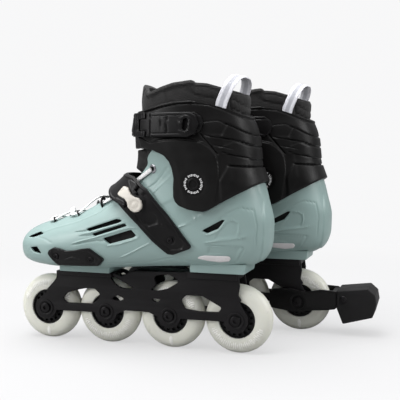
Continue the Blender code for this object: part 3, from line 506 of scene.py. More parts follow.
def rounded(outline, radius, steps=5):
    """The outline with its corners turned into arcs of up to that radius."""
    points = [Vector(p) for p in outline]
    fine = []
    for i, corner in enumerate(points):
        before, after = points[i - 1], points[(i + 1) % len(points)]
        to_before, to_after = before - corner, after - corner
        bend = to_before.angle(to_after)
        if bend < math.radians(4) or bend > math.radians(176):
            fine.append(tuple(corner))
            continue
        reach = min(radius / math.tan(bend / 2), 0.48 * to_before.length, 0.48 * to_after.length)
        start = corner + to_before.normalized() * reach
        end = corner + to_after.normalized() * reach
        for step in range(steps + 1):
            t = step / steps
            fine.append(tuple(start * (1 - t) ** 2 + corner * 2 * t * (1 - t) + end * t * t))
    return fine


def arc(middle, radius, start, end, steps):
    angles = [math.radians(start + (end - start) * i / steps) for i in range(steps + 1)]
    return [(middle[0] + radius * math.cos(a), middle[1] + radius * math.sin(a)) for a in angles]


def circle(middle, radius, sides):
    return arc(middle, radius, 0, 360, sides)[:-1]


def signed_area(outline):
    return sum(a[0] * b[1] - b[0] * a[1] for a, b in zip(outline, outline[1:] + outline[:1])) / 2


def plate(outlines, low_y, high_y, edge=0.6, segments=2):
    """A side-view outline with holes, extruded across the skate, with rounded edges."""
    curve = bpy.data.curves.new("outline", "CURVE")
    curve.dimensions = "2D"
    curve.fill_mode = "BOTH"
    curve.extrude = (high_y - low_y) / 2 - edge
    curve.bevel_depth = edge
    curve.bevel_resolution = segments
    curve.offset = -edge
    for number, outline in enumerate(outlines):
        if (signed_area(outline) > 0) == (number > 0):
            outline = outline[::-1]
        spline = curve.splines.new("POLY")
        spline.points.add(len(outline) - 1)
        spline.use_cyclic_u = True
        for point, (across, up) in zip(spline.points, outline):
            point.co = (across, up, 0, 1)
    item = temporary(curve)
    upright = Matrix.Rotation(math.pi / 2, 4, "X")
    item.matrix_world = Matrix.Translation((0, (low_y + high_y) / 2, 0)) @ upright
    return evaluated(item)


def prism(outline, low_y, high_y):
    return plate([outline], low_y, high_y, 0.0, 0)


def plan_prism(outline, low_z, high_z):
    """An outline of the plan, extruded upwards."""
    mesh = plate([outline], low_z, high_z, 0.0, 0)
    mesh.transform(Matrix.Rotation(-math.pi / 2, 4, "X"))
    co = coordinates(mesh)
    co[:, 2] += (low_z + high_z) / 2 - (co[:, 2].min() + co[:, 2].max()) / 2
    mesh.vertices.foreach_set("co", co.ravel())
    return mesh


def turned(profile, sides, middle, closed=True):
    """A profile of (radius, y) turned about the Y axis through middle (x, z)."""
    points, faces = [], []
    count = len(profile)
    for i in range(sides):
        angle = 2 * math.pi * i / sides
        for radius, y in profile:
            points.append((middle[0] + radius * math.cos(angle), y, middle[1] + radius * math.sin(angle)))
    last = count if closed else count - 1
    for i in range(sides):
        j = (i + 1) % sides
        for k in range(last):
            m = (k + 1) % count
            faces.append((i * count + k, j * count + k, j * count + m, i * count + m))
    bm = bmesh.new()
    bm.from_mesh(mesh_from(points, faces))
    bmesh.ops.remove_doubles(bm, verts=bm.verts, dist=0.001)
    return mesh_of(bm, "turned")


def flat_cord(points, normals, half_width, half_thickness):
    """A flat woven cord along close points, its flat side along the given normals."""
    sides = 18
    bm = bmesh.new()
    layer = bm.loops.layers.uv.new("weave")
    rows, along = [], 0.0
    for i, (point, normal) in enumerate(zip(points, normals)):
        ahead = (points[min(i + 1, len(points) - 1)] - points[max(i - 1, 0)]).normalized()
        out = (normal - ahead * normal.dot(ahead)).normalized()
        side = ahead.cross(out)
        if i:
            along += (point - points[i - 1]).length
        ring = []
        for k in range(sides):
            angle = 2 * math.pi * k / sides
            across = math.copysign(abs(math.cos(angle)) ** 0.7, math.cos(angle))
            rib = 1 + 0.07 * math.cos(across * 9) * math.cos(2.6 * along + across * 4)
            lift = out * math.sin(angle) * half_thickness * rib
            ring.append(bm.verts.new(point + side * across * half_width + lift))
        rows.append((ring, along))
    for (low, v_low), (high, v_high) in zip(rows, rows[1:]):
        for k in range(sides):
            m = (k + 1) % sides
            face = bm.faces.new((low[k], high[k], high[m], low[m]))
            for loop, (u, v) in zip(face.loops, ((k, v_low), (k, v_high), (k + 1, v_high), (k + 1, v_low))):
                loop[layer].uv = (u / sides, v)
    for ring in (rows[0][0], rows[-1][0]):
        bm.faces.new(ring)
    return mesh_of(bm, "cord")


# ================================================================ boot surface
def smooth_sections(sections, spacing):
    """Sections filled in along monotone cubic curves through the given ones."""
    table = np.array(sections, float)
    top_steps, bottom_steps = (np.hypot(*np.diff(table[:, k:k + 2], axis=0).T) for k in (0, 2))
    steps = np.maximum(top_steps, bottom_steps)
    knots = np.concatenate([[0], np.cumsum(steps)])
    slopes = np.diff(table, axis=0) / steps[:, None]
    tangents = np.zeros_like(table)
    tangents[0], tangents[-1] = slopes[0], slopes[-1]
    for i in range(1, len(table) - 1):
        before, after = slopes[i - 1], slopes[i]
        first, second = 2 * steps[i] + steps[i - 1], steps[i] + 2 * steps[i - 1]
        same = before * after > 0
        safe_before = np.where(same, before, 1)
        safe_after = np.where(same, after, 1)
        tangents[i] = np.where(same, (first + second) / (first / safe_before + second / safe_after), 0)
    places = np.linspace(0, knots[-1], int(knots[-1] / spacing) + 1)
    rows = []
    for place in places:
        i = min(np.searchsorted(knots, place, "right") - 1, len(steps) - 1)
        t, h = (place - knots[i]) / steps[i], steps[i]
        rows.append(
            table[i] * (1 + 2 * t) * (1 - t) ** 2 + tangents[i] * h * t * (1 - t) ** 2
            + table[i + 1] * t * t * (3 - 2 * t) + tangents[i + 1] * h * t * t * (t - 1)
        )
    return rows


def section_shape(section):
    top_x, top_z, bottom_x, bottom_z = section[:4]
    upright = (top_z - bottom_z) ** 2 / ((top_x - bottom_x) ** 2 + (top_z - bottom_z) ** 2)
    return 0.5 - 0.08 * upright, 0.85 - 0.23 * upright, 0.85 + 0.07 * upright


def section_ring(section, angles, outset):
    """Points round a section: angle 0 is the bottom line, pi the top line, and under pi the outer side."""
    top_x, top_z, bottom_x, bottom_z, half_width, shift = section
    belly, lower, upper = section_shape(section)
    length = math.hypot(top_x - bottom_x, top_z - bottom_z)
    cosine, sine = np.cos(angles), np.sin(angles)
    exponent = np.where(cosine > 0, lower, upper)
    reach = np.where(cosine > 0, belly, 1 - belly)
    height = (belly - np.sign(cosine) * reach * np.abs(cosine) ** exponent) * (length + 2 * outset) - outset
    width = (half_width + outset) * np.abs(sine) ** exponent
    x = bottom_x + (top_x - bottom_x) / length * height
    z = bottom_z + (top_z - bottom_z) / length * height
    return np.stack([x, shift - np.sign(sine) * width, z], axis=1)


def rise_of(angles):
    """How far the instep strap rises over the laces, from 0 at the sides to 1 on top."""
    return np.clip((-np.cos(angles) - 0.1) / 0.5, 0, 1)


def side_y(sections, x, z, outset=0.0):
    """How far out the boot's side stands at a point of the side view (a positive number)."""
    def turn(section):
        return (section[0] - section[2]) * (z - section[3]) - (section[1] - section[3]) * (x - section[2])

    for low, high in zip(sections, sections[1:]):
        before, after = turn(low), turn(high)
        if (before > 0) != (after > 0):
            start, end = 0.0, 1.0
            for _ in range(30):
                middle = (start + end) / 2
                section = [a + (b - a) * middle for a, b in zip(low, high)]
                if (turn(section) > 0) == (before > 0):
                    start = middle
                else:
                    end = middle
            length = math.hypot(section[0] - section[2], section[1] - section[3])
            height = math.hypot(x - section[2], z - section[3]) / length
            belly, lower, upper = section_shape(section)
            exponent = lower if height < belly else upper
            reach = belly if height < belly else 1 - belly
            cosine = min(1.0, abs(height - belly) / reach) ** (1 / exponent)
            return (section[4] + outset) * (1 - cosine * cosine) ** (exponent / 2) - section[5]
    raise ValueError(f"no section passes through {x}, {z}")


def rows_through(rows, outline):
    """The run of sections that pass through an outline of the side view, and two more at each end."""
    margin = 2
    top_x, top_z, bottom_x, bottom_z = np.array(rows)[:, :4].T
    reached = []
    for x, z in outline:
        turns = (top_x - bottom_x) * (z - bottom_z) - (top_z - bottom_z) * (x - bottom_x)
        crossings = np.flatnonzero((turns[1:] > 0) != (turns[:-1] > 0))
        reached += list(crossings) or [0 if turns[0] > 0 else len(rows) - 1]
    return rows[max(0, min(reached) - margin):max(reached) + margin + 1]


def grid_mesh(rows):
    """A closed surface through rings of points."""
    sides = len(rows[0])
    points = np.concatenate(rows)
    faces = []
    for i in range(len(rows) - 1):
        for k in range(sides):
            m = (k + 1) % sides
            faces.append((i * sides + k, i * sides + m, (i + 1) * sides + m, (i + 1) * sides + k))
    faces.append(tuple(range(sides)))
    faces.append(tuple(range((len(rows) - 1) * sides, len(rows) * sides))[::-1])
    bm = bmesh.new()
    bm.from_mesh(mesh_from(points, faces))
    return mesh_of(bm, "grid")


def loft(sections, outset=0.0, spacing=2.0, sides=200, sole_rise=0.0, rise=0.0, near=None):
    angles = 2 * np.pi * np.arange(sides) / sides
    rows = []
    filled = smooth_sections(sections, spacing)
    for section in rows_through(filled, near) if near else filled:
        section = list(section)
        section[3] += sole_rise
        rows.append(section_ring(section, angles, outset + rise * rise_of(angles)))
    return grid_mesh(rows)


def to_line(x, z, line):
    """Each point's distance from a side-view polyline, and how far along the line, from 0 to 1, it lies."""
    best = np.full(x.shape, 1e9)
    along = np.zeros(x.shape)
    lengths = [math.dist(a, b) for a, b in zip(line, line[1:])]
    total, done = sum(lengths), 0.0
    for (ax, az), (bx, bz), length in zip(line, line[1:], lengths):
        dx, dz = bx - ax, bz - az
        t = np.clip(((x - ax) * dx + (z - az) * dz) / (length * length), 0, 1)
        distance = np.hypot(x - ax - t * dx, z - az - t * dz)
        nearer = distance < best
        best = np.where(nearer, distance, best)
        along = np.where(nearer, (done + t * length) / total, along)
        done += length
    return best, along


def inside_distance(x, z, outline):
    """Distance from an outline, positive inside it."""
    distance, _ = to_line(x, z, list(outline) + [outline[0]])
    inside = np.zeros(x.shape, bool)
    for (ax, az), (bx, bz) in zip(outline, outline[1:] + outline[:1]):
        crosses = (az > z) != (bz > z)
        if az != bz:
            inside ^= crosses & (x < (bx - ax) * (z - az) / (bz - az) + ax)
    return np.where(inside, distance, -distance)


def smooth_step(value):
    value = np.clip(value, 0, 1)
    return value * value * (3 - 2 * value)


def detail(mesh, lines=(), panels=(), lips=(), sideways=0.25, lip=1.6, extra=None):
    """Moves a surface in and out along its normals, by its side-view features.

    Lines and panels fade where the surface faces sideways less than given; lips round off cut edges.
    """
    count = len(mesh.vertices)
    co = coordinates(mesh)
    normals = np.empty(count * 3)
    mesh.vertex_normals.foreach_get("vector", normals)
    normals = normals.reshape(-1, 3)
    x, z = co[:, 0], co[:, 2]
    facing = smooth_step((np.abs(normals[:, 1]) - sideways) / 0.3) if sideways >= 0 else np.ones(count)
    height = np.zeros(count)
    for line, half_width, rise in lines:
        distance, along = to_line(x, z, line)
        ends = smooth_step(np.minimum(along, 1 - along) * 8 + 0.15)
        height += rise * ends * (1 - smooth_step(distance / half_width))
    for outline, rise, width in panels:
        height += rise * smooth_step(inside_distance(x, z, outline) / width + 0.5)
    height *= facing
    for outline, cut_inside in lips:
        distance = inside_distance(x, z, outline) * (-1 if cut_inside else 1)
        edge = np.clip(1 - distance / lip, 0, 1)
        height -= lip * 0.6 * (1 - np.sqrt(1 - np.minimum(edge * edge, 0.96)))
    if extra is not None:
        height += extra(co, normals)
    co += normals * height[:, None]
    mesh.vertices.foreach_set("co", co.ravel())
    mesh.update()
    return mesh


def cut_through(mesh, outline):
    return boolean(mesh, prism(outline, *BOTH_SIDES), "INTERSECT")


# ================================================================ boot pieces
def shell_mesh():
    side = rounded(SHELL_SIDE, 9)
    vents = [rounded(vent, 1.6, 3) for vent in VENTS]

    def throat_lip(co, normals):
        distance = -inside_distance(co[:, 0], co[:, 1], THROAT_PLAN)
        edge = np.clip(1 - distance / 2.2, 0, 1) * (co[:, 2] > 128)
        rib = smooth_step(inside_distance(co[:, 0], co[:, 2], HEEL_RIB) / 1.4 + 0.5)
        return 1.1 * rib - 1.2 * (1 - np.sqrt(1 - np.minimum(edge * edge, 0.96)))

    mesh = loft(SHELL_SECTIONS, 0.0, 2.0, 440)
    lips = [(side, False)] + [(vent, True) for vent in vents]
    mesh = detail(mesh, SHELL_LINES, SHELL_PANELS, lips, extra=throat_lip)
    mesh = cut_through(mesh, side)
    mesh = boolean(mesh, plan_prism(rounded(THROAT_PLAN, 5), 125, 300), "DIFFERENCE")
    toe = [(x + 3.5, *rest) for x, *rest in SHELL_SECTIONS[1:2]]
    inner = loft(toe + SHELL_SECTIONS[2:], -SHELL_WALL, 4.0, 90, SOLE_RISE)
    mesh = boolean(mesh, inner, "DIFFERENCE")
    for vent in vents:
        mesh = boolean(mesh, prism(vent, -CLEAR, -20), "DIFFERENCE")
        mesh = boolean(mesh, prism(vent, 20, CLEAR), "DIFFERENCE")
    return mesh


def plinth_meshes():
    front = [(-98, 87.9), (-32, 87.9), (-31, 99), (-98, 98)]
    rear = [(69, 94.5), (133, 94.5), (135, 106), (69, 106)]
    return joined(*[plate([rounded(outline, 1.5)], -24, 24, 0.8) for outline in (front, rear)])


def cuff_mesh():
    side = rounded(CUFF_SIDE, 8)
    slot = [(-30, 150), (60, 150), (60, 300), (-30, 300)]
    mesh = loft(CUFF_SECTIONS, 0.0, 1.0, 360)
    lips = [(side, False)]

    def disc(co, normals):
        radius = np.hypot(co[:, 0] - PIVOT[0], co[:, 2] - PIVOT[1])
        return -0.5 * smooth_step((14.5 - radius) / 1.5) * (np.abs(normals[:, 1]) > 0.5)

    mesh = detail(mesh, CUFF_LINES, CUFF_PANELS, lips, extra=disc, sideways=-1)
    mesh = cut_through(mesh, side)
    mesh = boolean(mesh, loft(CUFF_SECTIONS, -CUFF_WALL, 4.0, 90), "DIFFERENCE")
    return boolean(mesh, prism(slot, -6, 6), "DIFFERENCE")


def tongue_bulge(co, normals):
    """The tongue stands out through the throat, below the cuff."""
    across = smooth_step((20 - np.abs(co[:, 1])) / 9)
    up = smooth_step((co[:, 2] - 206) / 6) * smooth_step((235.5 - co[:, 2]) / 2)
    return 8.0 * across * up * (co[:, 0] < 40)


def liner_mesh():
    side = rounded(LINER_SIDE, 6)
    mesh = loft(LINER_SECTIONS, 0.0, 2.0, 200)
    mesh = detail(mesh, LINER_LINES, LINER_PANELS, [(side, False)], extra=tongue_bulge, sideways=-1, lip=3.5)
    mesh = cut_through(mesh, side)
    inner = loft(LINER_SECTIONS[1:], -LINER_PADDING, 3.5, 100)
    return boolean(mesh, inner, "DIFFERENCE")


def skin_mesh(sections, low, wall, outline, span=OUTER_SIDE, rise=0.0, **features):
    """A thin moulding that lies on the boot inside a side-view outline, low above the sections' surface."""
    outer = loft(sections, low + wall, 0.8, 380, rise=rise, near=outline)
    outer = detail(outer, lips=[(outline, False)], **features)
    mesh = boolean(outer, prism(outline, *span), "INTERSECT")
    inner = loft(sections, low, 3.0, 110, rise=rise)
    return boolean(mesh, inner, "DIFFERENCE")


def surface_frame(sections, x, z, outset):
    """A point of the outer side and the outward direction there."""
    def at(px, pz):
        return Vector((px, -side_y(sections, px, pz, outset), pz))

    middle = at(x, z)
    along = at(x + 1, z) - at(x - 1, z)
    up = at(x, z + 1) - at(x, z - 1)
    out = up.cross(along).normalized()
    return middle, (out if out.y < 0 else -out)


def upright_on(mesh, middle, out):
    """Turns a mesh made about the Y axis, its outer side towards -Y, to lie on a surface."""
    turn = Vector((0, -1, 0)).rotation_difference(out).to_matrix().to_4x4()
    mesh.transform(Matrix.Translation(middle) @ turn)
    return mesh


def screw_mesh(radius):
    """A domed screw head with a hexagonal socket, its outer side towards -Y."""
    height, socket = 1.6, 1.5
    head = [(0, 0.3), (radius, 0.3), (radius, -height * 0.35), (radius * 0.86, -height * 0.8),
            (radius * 0.6, -height), (0, -height)]
    mesh = turned(head, 28, (0, 0), closed=False)
    hole = turned([(0, -height - 1), (socket, -height - 1), (socket, -height * 0.25), (0, -height * 0.25)],
                  6, (0, 0), closed=False)
    return boolean(mesh, hole, "DIFFERENCE", "EXACT")


def ring_mesh(radius, thickness):
    """A rolled ring about the Y axis."""
    return turned([(radius + x, z) for x, z in circle((0, 0), thickness, 10)], 28, (0, 0))


# ================================================================ laces
def crest_z(x, y):
    line = [(section[0], section[1]) for section in SHELL_SECTIONS]
    (x0, z0), (x1, z1) = next(pair for pair in zip(line, line[1:]) if pair[0][0] <= x <= pair[1][0])
    top = z0 + (z1 - z0) * (x - x0) / (x1 - x0)
    low, high = top - 30, top - 0.01
    for _ in range(30):
        middle = (low + high) / 2
        if side_y(SHELL_SECTIONS, x, middle) > abs(y):
            low = middle
        else:
            high = middle
    return low


def lace_route():
    lift = LACE_DIAMETER / 2 + 1.2

    def flap(x, z):
        return Vector((x, -side_y(SHELL_SECTIONS, x, z, lift), z))

    def crest(x, y, extra=0.0):
        return Vector((x, y, crest_z(x, y) + lift + extra))

    under = [
        flap(27, 212), flap(13, 203), crest(-5, -30, 0.6), crest(-21, -31, 0.6),
        crest(*HOOK), crest(-45, -17, 0.6), crest(-55, -1, 1), crest(-63, 13, 0.6),
        crest(*EYELET_MIDDLE), crest(-78, 25, 0.4), crest(-84, 15, 0.6), crest(-91, 0, 1),
        crest(-98, -14, 0.6), crest(*EYELET_TOE), crest(-110, -19, 0.4), crest(-112, -9, 0.5),
    ]
    over = [Vector((point.x, -point.y, point.z)) for point in reversed(under)]
    for point in over:
        if abs(point.y) < 16 and point.x > -105:
            point.z += (LACE_DIAMETER + 0.8) * (1 - abs(point.y) / 20)
    return under + [crest(-112, 0, 0.5)] + over


def smooth_route(points, spacing):
    """Points along a centripetal spline through the route's own points."""
    ends = [points[0] * 2 - points[1], *points, points[-1] * 2 - points[-2]]
    fine = []
    for p0, p1, p2, p3 in zip(ends, ends[1:], ends[2:], ends[3:]):
        knots = [0.0]
        for a, b in ((p0, p1), (p1, p2), (p2, p3)):
            knots.append(knots[-1] + max((b - a).length, 1e-6) ** 0.5)
        t0, t1, t2, t3 = knots
        for step in range(40):
            t = t1 + (t2 - t1) * step / 40
            a1 = p0 * ((t1 - t) / (t1 - t0)) + p1 * ((t - t0) / (t1 - t0))
            a2 = p1 * ((t2 - t) / (t2 - t1)) + p2 * ((t - t1) / (t2 - t1))
            a3 = p2 * ((t3 - t) / (t3 - t2)) + p3 * ((t - t2) / (t3 - t2))
            b1 = a1 * ((t2 - t) / (t2 - t0)) + a2 * ((t - t0) / (t2 - t0))
            b2 = a2 * ((t3 - t) / (t3 - t1)) + a3 * ((t - t1) / (t3 - t1))
            fine.append(b1 * ((t2 - t) / (t2 - t1)) + b2 * ((t - t1) / (t2 - t1)))
    fine.append(points[-1])
    route, left = [fine[0]], spacing
    for a, b in zip(fine, fine[1:]):
        step = (b - a).length
        while step > left:
            a = a + (b - a) * (left / step)
            route.append(a)
            step = (b - a).length
            left = spacing
        left -= step
    route.append(fine[-1])
    return route


def lace_mesh(route):
    """The lace, flat against the boot."""
    tree = BVHTree.FromPolygons(*surface_polygons(loft(SHELL_SECTIONS, 0.0, 5.0, 90)))
    normals = [tree.find_nearest(point)[1] for point in route]
    smooth = []
    for i in range(len(normals)):
        near = normals[max(0, i - 5):i + 6]
        smooth.append(sum(near, Vector()).normalized())
    return flat_cord(route, smooth, LACE_WIDTH / 2, LACE_THICKNESS / 2)


def surface_polygons(mesh):
    return [vert.co for vert in mesh.vertices], [tuple(polygon.vertices) for polygon in mesh.polygons]


# ================================================================ frame, wheels, brake
def frame_mesh():
    first, second, third, fourth = AXLES
    boss = AXLE_BOSS_RADIUS
    outline = rounded(FRAME_TOP, 5)[:-1]
    outline += arc(first, boss, 150, 350, 26)
    outline += arc(second, boss, 187, 350, 22)
    outline += [(-15, 43), (15, 43)]
    outline += arc(third, boss, 187, 350, 22)
    outline += arc(fourth, boss, 187, 385, 26)
    holes = [rounded(hole, 4.5) for hole in FRAME_HOLES]
    pieces = []
    for side in (-1, 1):
        low, high = sorted((side * FRAME_INSIDE, side * (FRAME_INSIDE + FRAME_WALL)))
        pieces.append(plate([outline, *holes], low, high, 0.7))
        for axle in AXLES:
            face = side * (FRAME_INSIDE + FRAME_WALL)
            ring = [(7.4, face - side * 0.5), (10.4, face - side * 0.5), (10.0, face + side * 0.9),
                    (9.2, face + side * 1.1), (8.2, face + side * 1.1), (7.4, face + side * 0.7)]
            pieces.append(turned(ring, 44, axle))
    for (low_x, high_x, low_z, high_z), half in (
        ((-104.5, -31, 82.5, 87.6), 20.0), ((64.6, 123.4, 86.4, 94.2), 20.0), ((-4, 59, 89.6, 92.0), 13.4),
    ):
        outline = rounded([(low_x, low_z), (high_x, low_z), (high_x, high_z), (low_x, high_z)], 1.2)
        pieces.append(plate([outline], -half, half, 0.8))
    return joined(*pieces)


def tyre_mesh(middle):
    """Cast tyre: a full crown and nearly straight flanks."""
    half = [(40.0, 0), (39.9, 1.6), (39.5, 3.4), (38.8, 5.2), (37.8, 6.9), (36.4, 8.4), (34.6, 9.7),
            (32.4, 10.7), (30, 11.3), (27.5, 11.65), (25, 11.75), (22.6, 11.65), (21.8, 11.5), (21.5, 11.0)]
    profile = half + [(radius, -y) for radius, y in half[:0:-1]]
    return turned(profile, 120, middle)


def flank_marks_mesh(middle, turn):
    """An arc of plain raised dashes on each flank, and a broad bar across from its middle."""
    bm = bmesh.new()
    for side in (-1, 1):
        for i in range(31):
            low, high = (26.2, 33.8) if i % 3 else (27.8, 32.4)
            add_dash(bm, middle, math.radians(turn + 203 + 4.6 * i), low, high, side)
        add_dash(bm, middle, math.radians(turn + 92), 24.5, 36.0, side, 2.4, 0.35)
    return mesh_of(bm, "marks")


def flank_y(radius):
    """Half width of the tyre at a radius."""
    table = [(21.8, 11.5), (25, 11.75), (27.5, 11.65), (30, 11.3), (32.4, 10.7), (34.6, 9.7), (36.4, 8.4)]
    for (r0, y0), (r1, y1) in zip(table, table[1:]):
        if radius <= r1:
            return y0 + (y1 - y0) * (radius - r0) / (r1 - r0)
    return table[-1][1]


def add_dash(bm, middle, angle, low, high, side, half_width=0.85, height=0.5):
    """A raised radial dash on a tyre's flank."""
    steps = 4
    rows = []
    for i in range(steps + 1):
        radius = low + (high - low) * i / steps
        taper = 1.0 if 0 < i < steps else 0.55
        row = []
        for across, lift in ((-1, -0.2), (-0.6, 1), (0.6, 1), (1, -0.2)):
            offset = across * half_width * taper
            rise = lift * height if 0 < i < steps or lift < 0 else 0.3 * height
            x = middle[0] + radius * math.cos(angle) - offset * math.sin(angle)
            z = middle[1] + radius * math.sin(angle) + offset * math.cos(angle)
            row.append(bm.verts.new((x, side * (flank_y(radius) + rise), z)))
        rows.append(row)
    for a, b in zip(rows, rows[1:]):
        for k in range(3):
            bm.faces.new((a[k], a[k + 1], b[k + 1], b[k]))
        bm.faces.new((a[3], a[0], b[0], b[3]))
    bm.faces.new(rows[0])
    bm.faces.new(rows[-1])


def hub_mesh(middle):
    """Core with a ring of oval pockets near its rim, round the bearing seat."""
    half = [(11.2, 11.7), (13.4, 11.7), (14.0, 11.2), (14.5, 8.6), (19.5, 8.6), (20.1, 10.8), (21.2, 10.8),
            (21.2, 10.2)]
    profile = half + [(radius, -y) for radius, y in reversed(half)]
    mesh = turned(profile, 84, middle)
    count = 16
    for i in range(count):
        angle = 2 * math.pi * (i + 0.5) / count
        cosine, sine = math.cos(angle), math.sin(angle)
        oval = []
        for out, across in circle((0, 0), 1.0, 12):
            out, across = 17.0 + 2.1 * out, 2.2 * across
            oval.append((middle[0] + out * cosine - across * sine, middle[1] + out * sine + across * cosine))
        for low, high in ((-12, -5), (5, 12)):
            mesh = boolean(mesh, prism(oval, low, high), "DIFFERENCE")
    return mesh


def bearing_mesh(middle):
    """Two 608 bearings, with dished shields between their rings, and the spacer between them."""
    half = [(4.2, 11.95), (6.0, 11.95), (6.2, 11.55), (9.2, 11.45), (9.5, 11.95), (10.9, 11.95),
            (10.95, 11.7), (10.95, 5.0), (6.0, 5.0)]
    profile = half + [(radius, -y) for radius, y in reversed(half)]
    return turned(profile, 48, middle)


def axle_mesh(middle, face):
    """Axle with a domed head at both ends and hexagonal sockets."""
    head = face + 0.3
    half = [(3.7, 0), (3.7, head), (6.2, head), (6.2, head + 1.2), (5.7, head + 2.0), (5.0, head + 2.3),
            (0, head + 2.3)]
    profile = [(0, -half[-1][1])] + [(radius, -y) for radius, y in half[-2:0:-1]] + half[1:]
    mesh = turned(profile, 40, middle, closed=False)
    for side in (-1, 1):
        low, high = sorted((side * (head + 0.4), side * (head + 5)))
        socket = turned([(0, low), (2.6, low), (2.6, high), (0, high)], 6, middle, closed=False)
        mesh = boolean(mesh, socket, "DIFFERENCE", "EXACT")
    return mesh


def brake_arm_mesh():
    inner = FRAME_INSIDE + FRAME_WALL + 0.3
    outer = inner + BRAKE_ARM_WALL
    outline = rounded(BRAKE_ARM_SIDE, 4)
    pieces = []
    for side in (-1, 1):
        low, high = sorted((side * inner, side * outer))
        pieces.append(plate([outline], low, high, 0.7))
        ring = [(7.2, side * (outer - 0.4)), (10.2, side * (outer - 0.4)), (9.9, side * (outer + 0.8)),
                (8.0, side * (outer + 0.8)), (7.2, side * (outer + 0.4))]
        pieces.append(turned(ring, 40, AXLES[3]))
    carrier = rounded([(164.5, 34), (171, 34), (171, 55), (164.5, 55)], 1.2)
    pieces.append(plate([carrier], -inner - 1, inner + 1, 0.6))
    return joined(*pieces)


def brake_pad_mesh():
    return plate([rounded(BRAKE_PAD_SIDE, 2.2)], -BRAKE_PAD_HALF_WIDTH, BRAKE_PAD_HALF_WIDTH, 1.8, 3)


def brake_bolts_mesh():
    """Button heads of the bolt that holds the brake block, one on each side."""
    bolts = []
    for side in (-1, 1):
        profile = [(0, 23.5), (4.6, 23.5), (4.6, 24.9), (4.0, 25.5), (2.6, 25.7), (2.3, 24.7), (0, 24.7)]
        if side < 0:
            profile = [(radius, -y) for radius, y in reversed(profile)]
        bolts.append(turned(profile, 36, BRAKE_BOLT, closed=False))
    return joined(*bolts)


# ================================================================ placing
def add(side, name, mesh, material, body, replaces=()):
    """Puts a piece made for the left skate on one skate, mirrored for the right one."""
    offset_x, offset_y, hand = SKATES[side]
    mesh = mesh.copy()
    mesh.transform(Matrix.Diagonal((MM, MM * hand, MM, 1)))
    if hand < 0:
        mesh.flip_normals()
    mesh.transform(Matrix.Translation((offset_x * MM, offset_y * MM, 0)))
    mesh.name = f"{side}_{name}"
    mesh.materials.clear()
    mesh.materials.append(MATERIALS[material])
    for polygon in mesh.polygons:
        polygon.material_index = 0
    mesh.shade_smooth()
    mesh.set_sharp_from_angle(angle=math.radians(SHARP_EDGE))
    item = link(bpy.data.objects.new(mesh.name, mesh))
    if isinstance(body, tuple):
        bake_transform(item)
    else:
        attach(item, body)
    if replaces:
        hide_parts(*[f"{side}_{node}" for node in replaces])
    return item


def row_point(side, x, y, z):
    offset_x, offset_y, hand = SKATES[side]
    return Vector(((offset_x + x) * MM, (offset_y + hand * y) * MM, z * MM))


# ================================================================ straps, levers and fittings
def rim_feature(outline, inset, half_width, height):
    """A raised line that follows an outline at a distance inside it."""
    def rise(co, normals):
        distance = inside_distance(co[:, 0], co[:, 2], outline)
        return height * (1 - smooth_step(np.abs(distance - inset) / half_width))
    return rise


def spot_feature(spots):
    """Round lobes: (x, z, radius, height)."""
    def rise(co, normals):
        total = np.zeros(len(co))
        for x, z, radius, height in spots:
            total += height * smooth_step((radius - np.hypot(co[:, 0] - x, co[:, 2] - z)) / 1.6 + 0.5)
        return total
    return rise


def recess_feature(outline, depth):
    """A shallow pocket inside an outline."""
    def rise(co, normals):
        return -depth * smooth_step(inside_distance(co[:, 0], co[:, 2], outline) / 1.2 + 0.5)
    return rise


def both(*features):
    return lambda co, normals: sum(feature(co, normals) for feature in features)


def strap_mesh():
    outline = rounded(STRAP_SIDE, 3)
    wells = spot_feature([(*STRAP_SCREW, 5.4, -0.8), (31, 156, 7.5, -0.5)])
    recess = recess_feature([
        (16, 153.8), (31.2, 139.2), (47.4, 125.6), (53, 121.6), (66.5, 124.3), (69.6, 128.2), (67, 134.7),
        (49.5, 160.2), (36, 176), (24, 187.2), (20, 184), (24, 178), (20, 164), (13, 160.5),
    ], 0.9)
    lobes = [([(17.4, 157.5), (22, 150.5), (28, 147.6), (36, 150), (41.9, 150.6), (51.7, 149.1)], 1.0, 0.6)]
    return skin_mesh(SHELL_SECTIONS, 0.5, 3.2, outline, BOTH_SIDES, STRAP_RISE, lines=lobes,
                     extra=both(rim_feature(outline, 2.4, 1.2, 0.5), recess, wells), lip=1.3, sideways=0.1)


def bracket_mesh():
    parts = []
    for outline in BRACKETS:
        outline = rounded(outline, 1.4)
        parts.append(skin_mesh(SHELL_SECTIONS, 3.4, 3.6, outline, rise=STRAP_RISE, lip=1.2,
                               extra=rim_feature(outline, 1.3, 0.9, 0.5)))
    return joined(*parts)


def latch_mesh():
    outline = rounded(LATCH_SIDE, 2.2)
    disc = spot_feature([(12.9, 172.4, 5.8, -0.45), (12.9, 172.4, 2.6, 0.3)])
    return skin_mesh(SHELL_SECTIONS, 4.1, 3.4, outline, rise=STRAP_RISE, extra=disc, lip=1.3,
                     lines=[([(-8.6, 186), (-2, 190.5)], 0.9, -0.5)])


def slider_mesh():
    outline = rounded(SLIDER_SIDE, 3)
    wells = spot_feature([(*SLIDER_SCREWS[0], 4.6, -1.1), (*SLIDER_SCREWS[1], 5.2, -1.1)])
    recess = recess_feature([
        (-92.7, 113), (-92, 116.5), (-83.1, 116), (-72.6, 113.6), (-60.4, 115), (-44.7, 118), (-34, 111.5),
        (-31, 107.8), (-37, 102.5), (-85, 101.5),
    ], 0.8)
    ramp = [([(-76, 106), (-64, 110), (-53, 108)], 1.1, 0.6)]
    return skin_mesh(SHELL_SECTIONS, 0.3, 3.5, outline, extra=both(recess, wells), lip=1.4, lines=ramp)


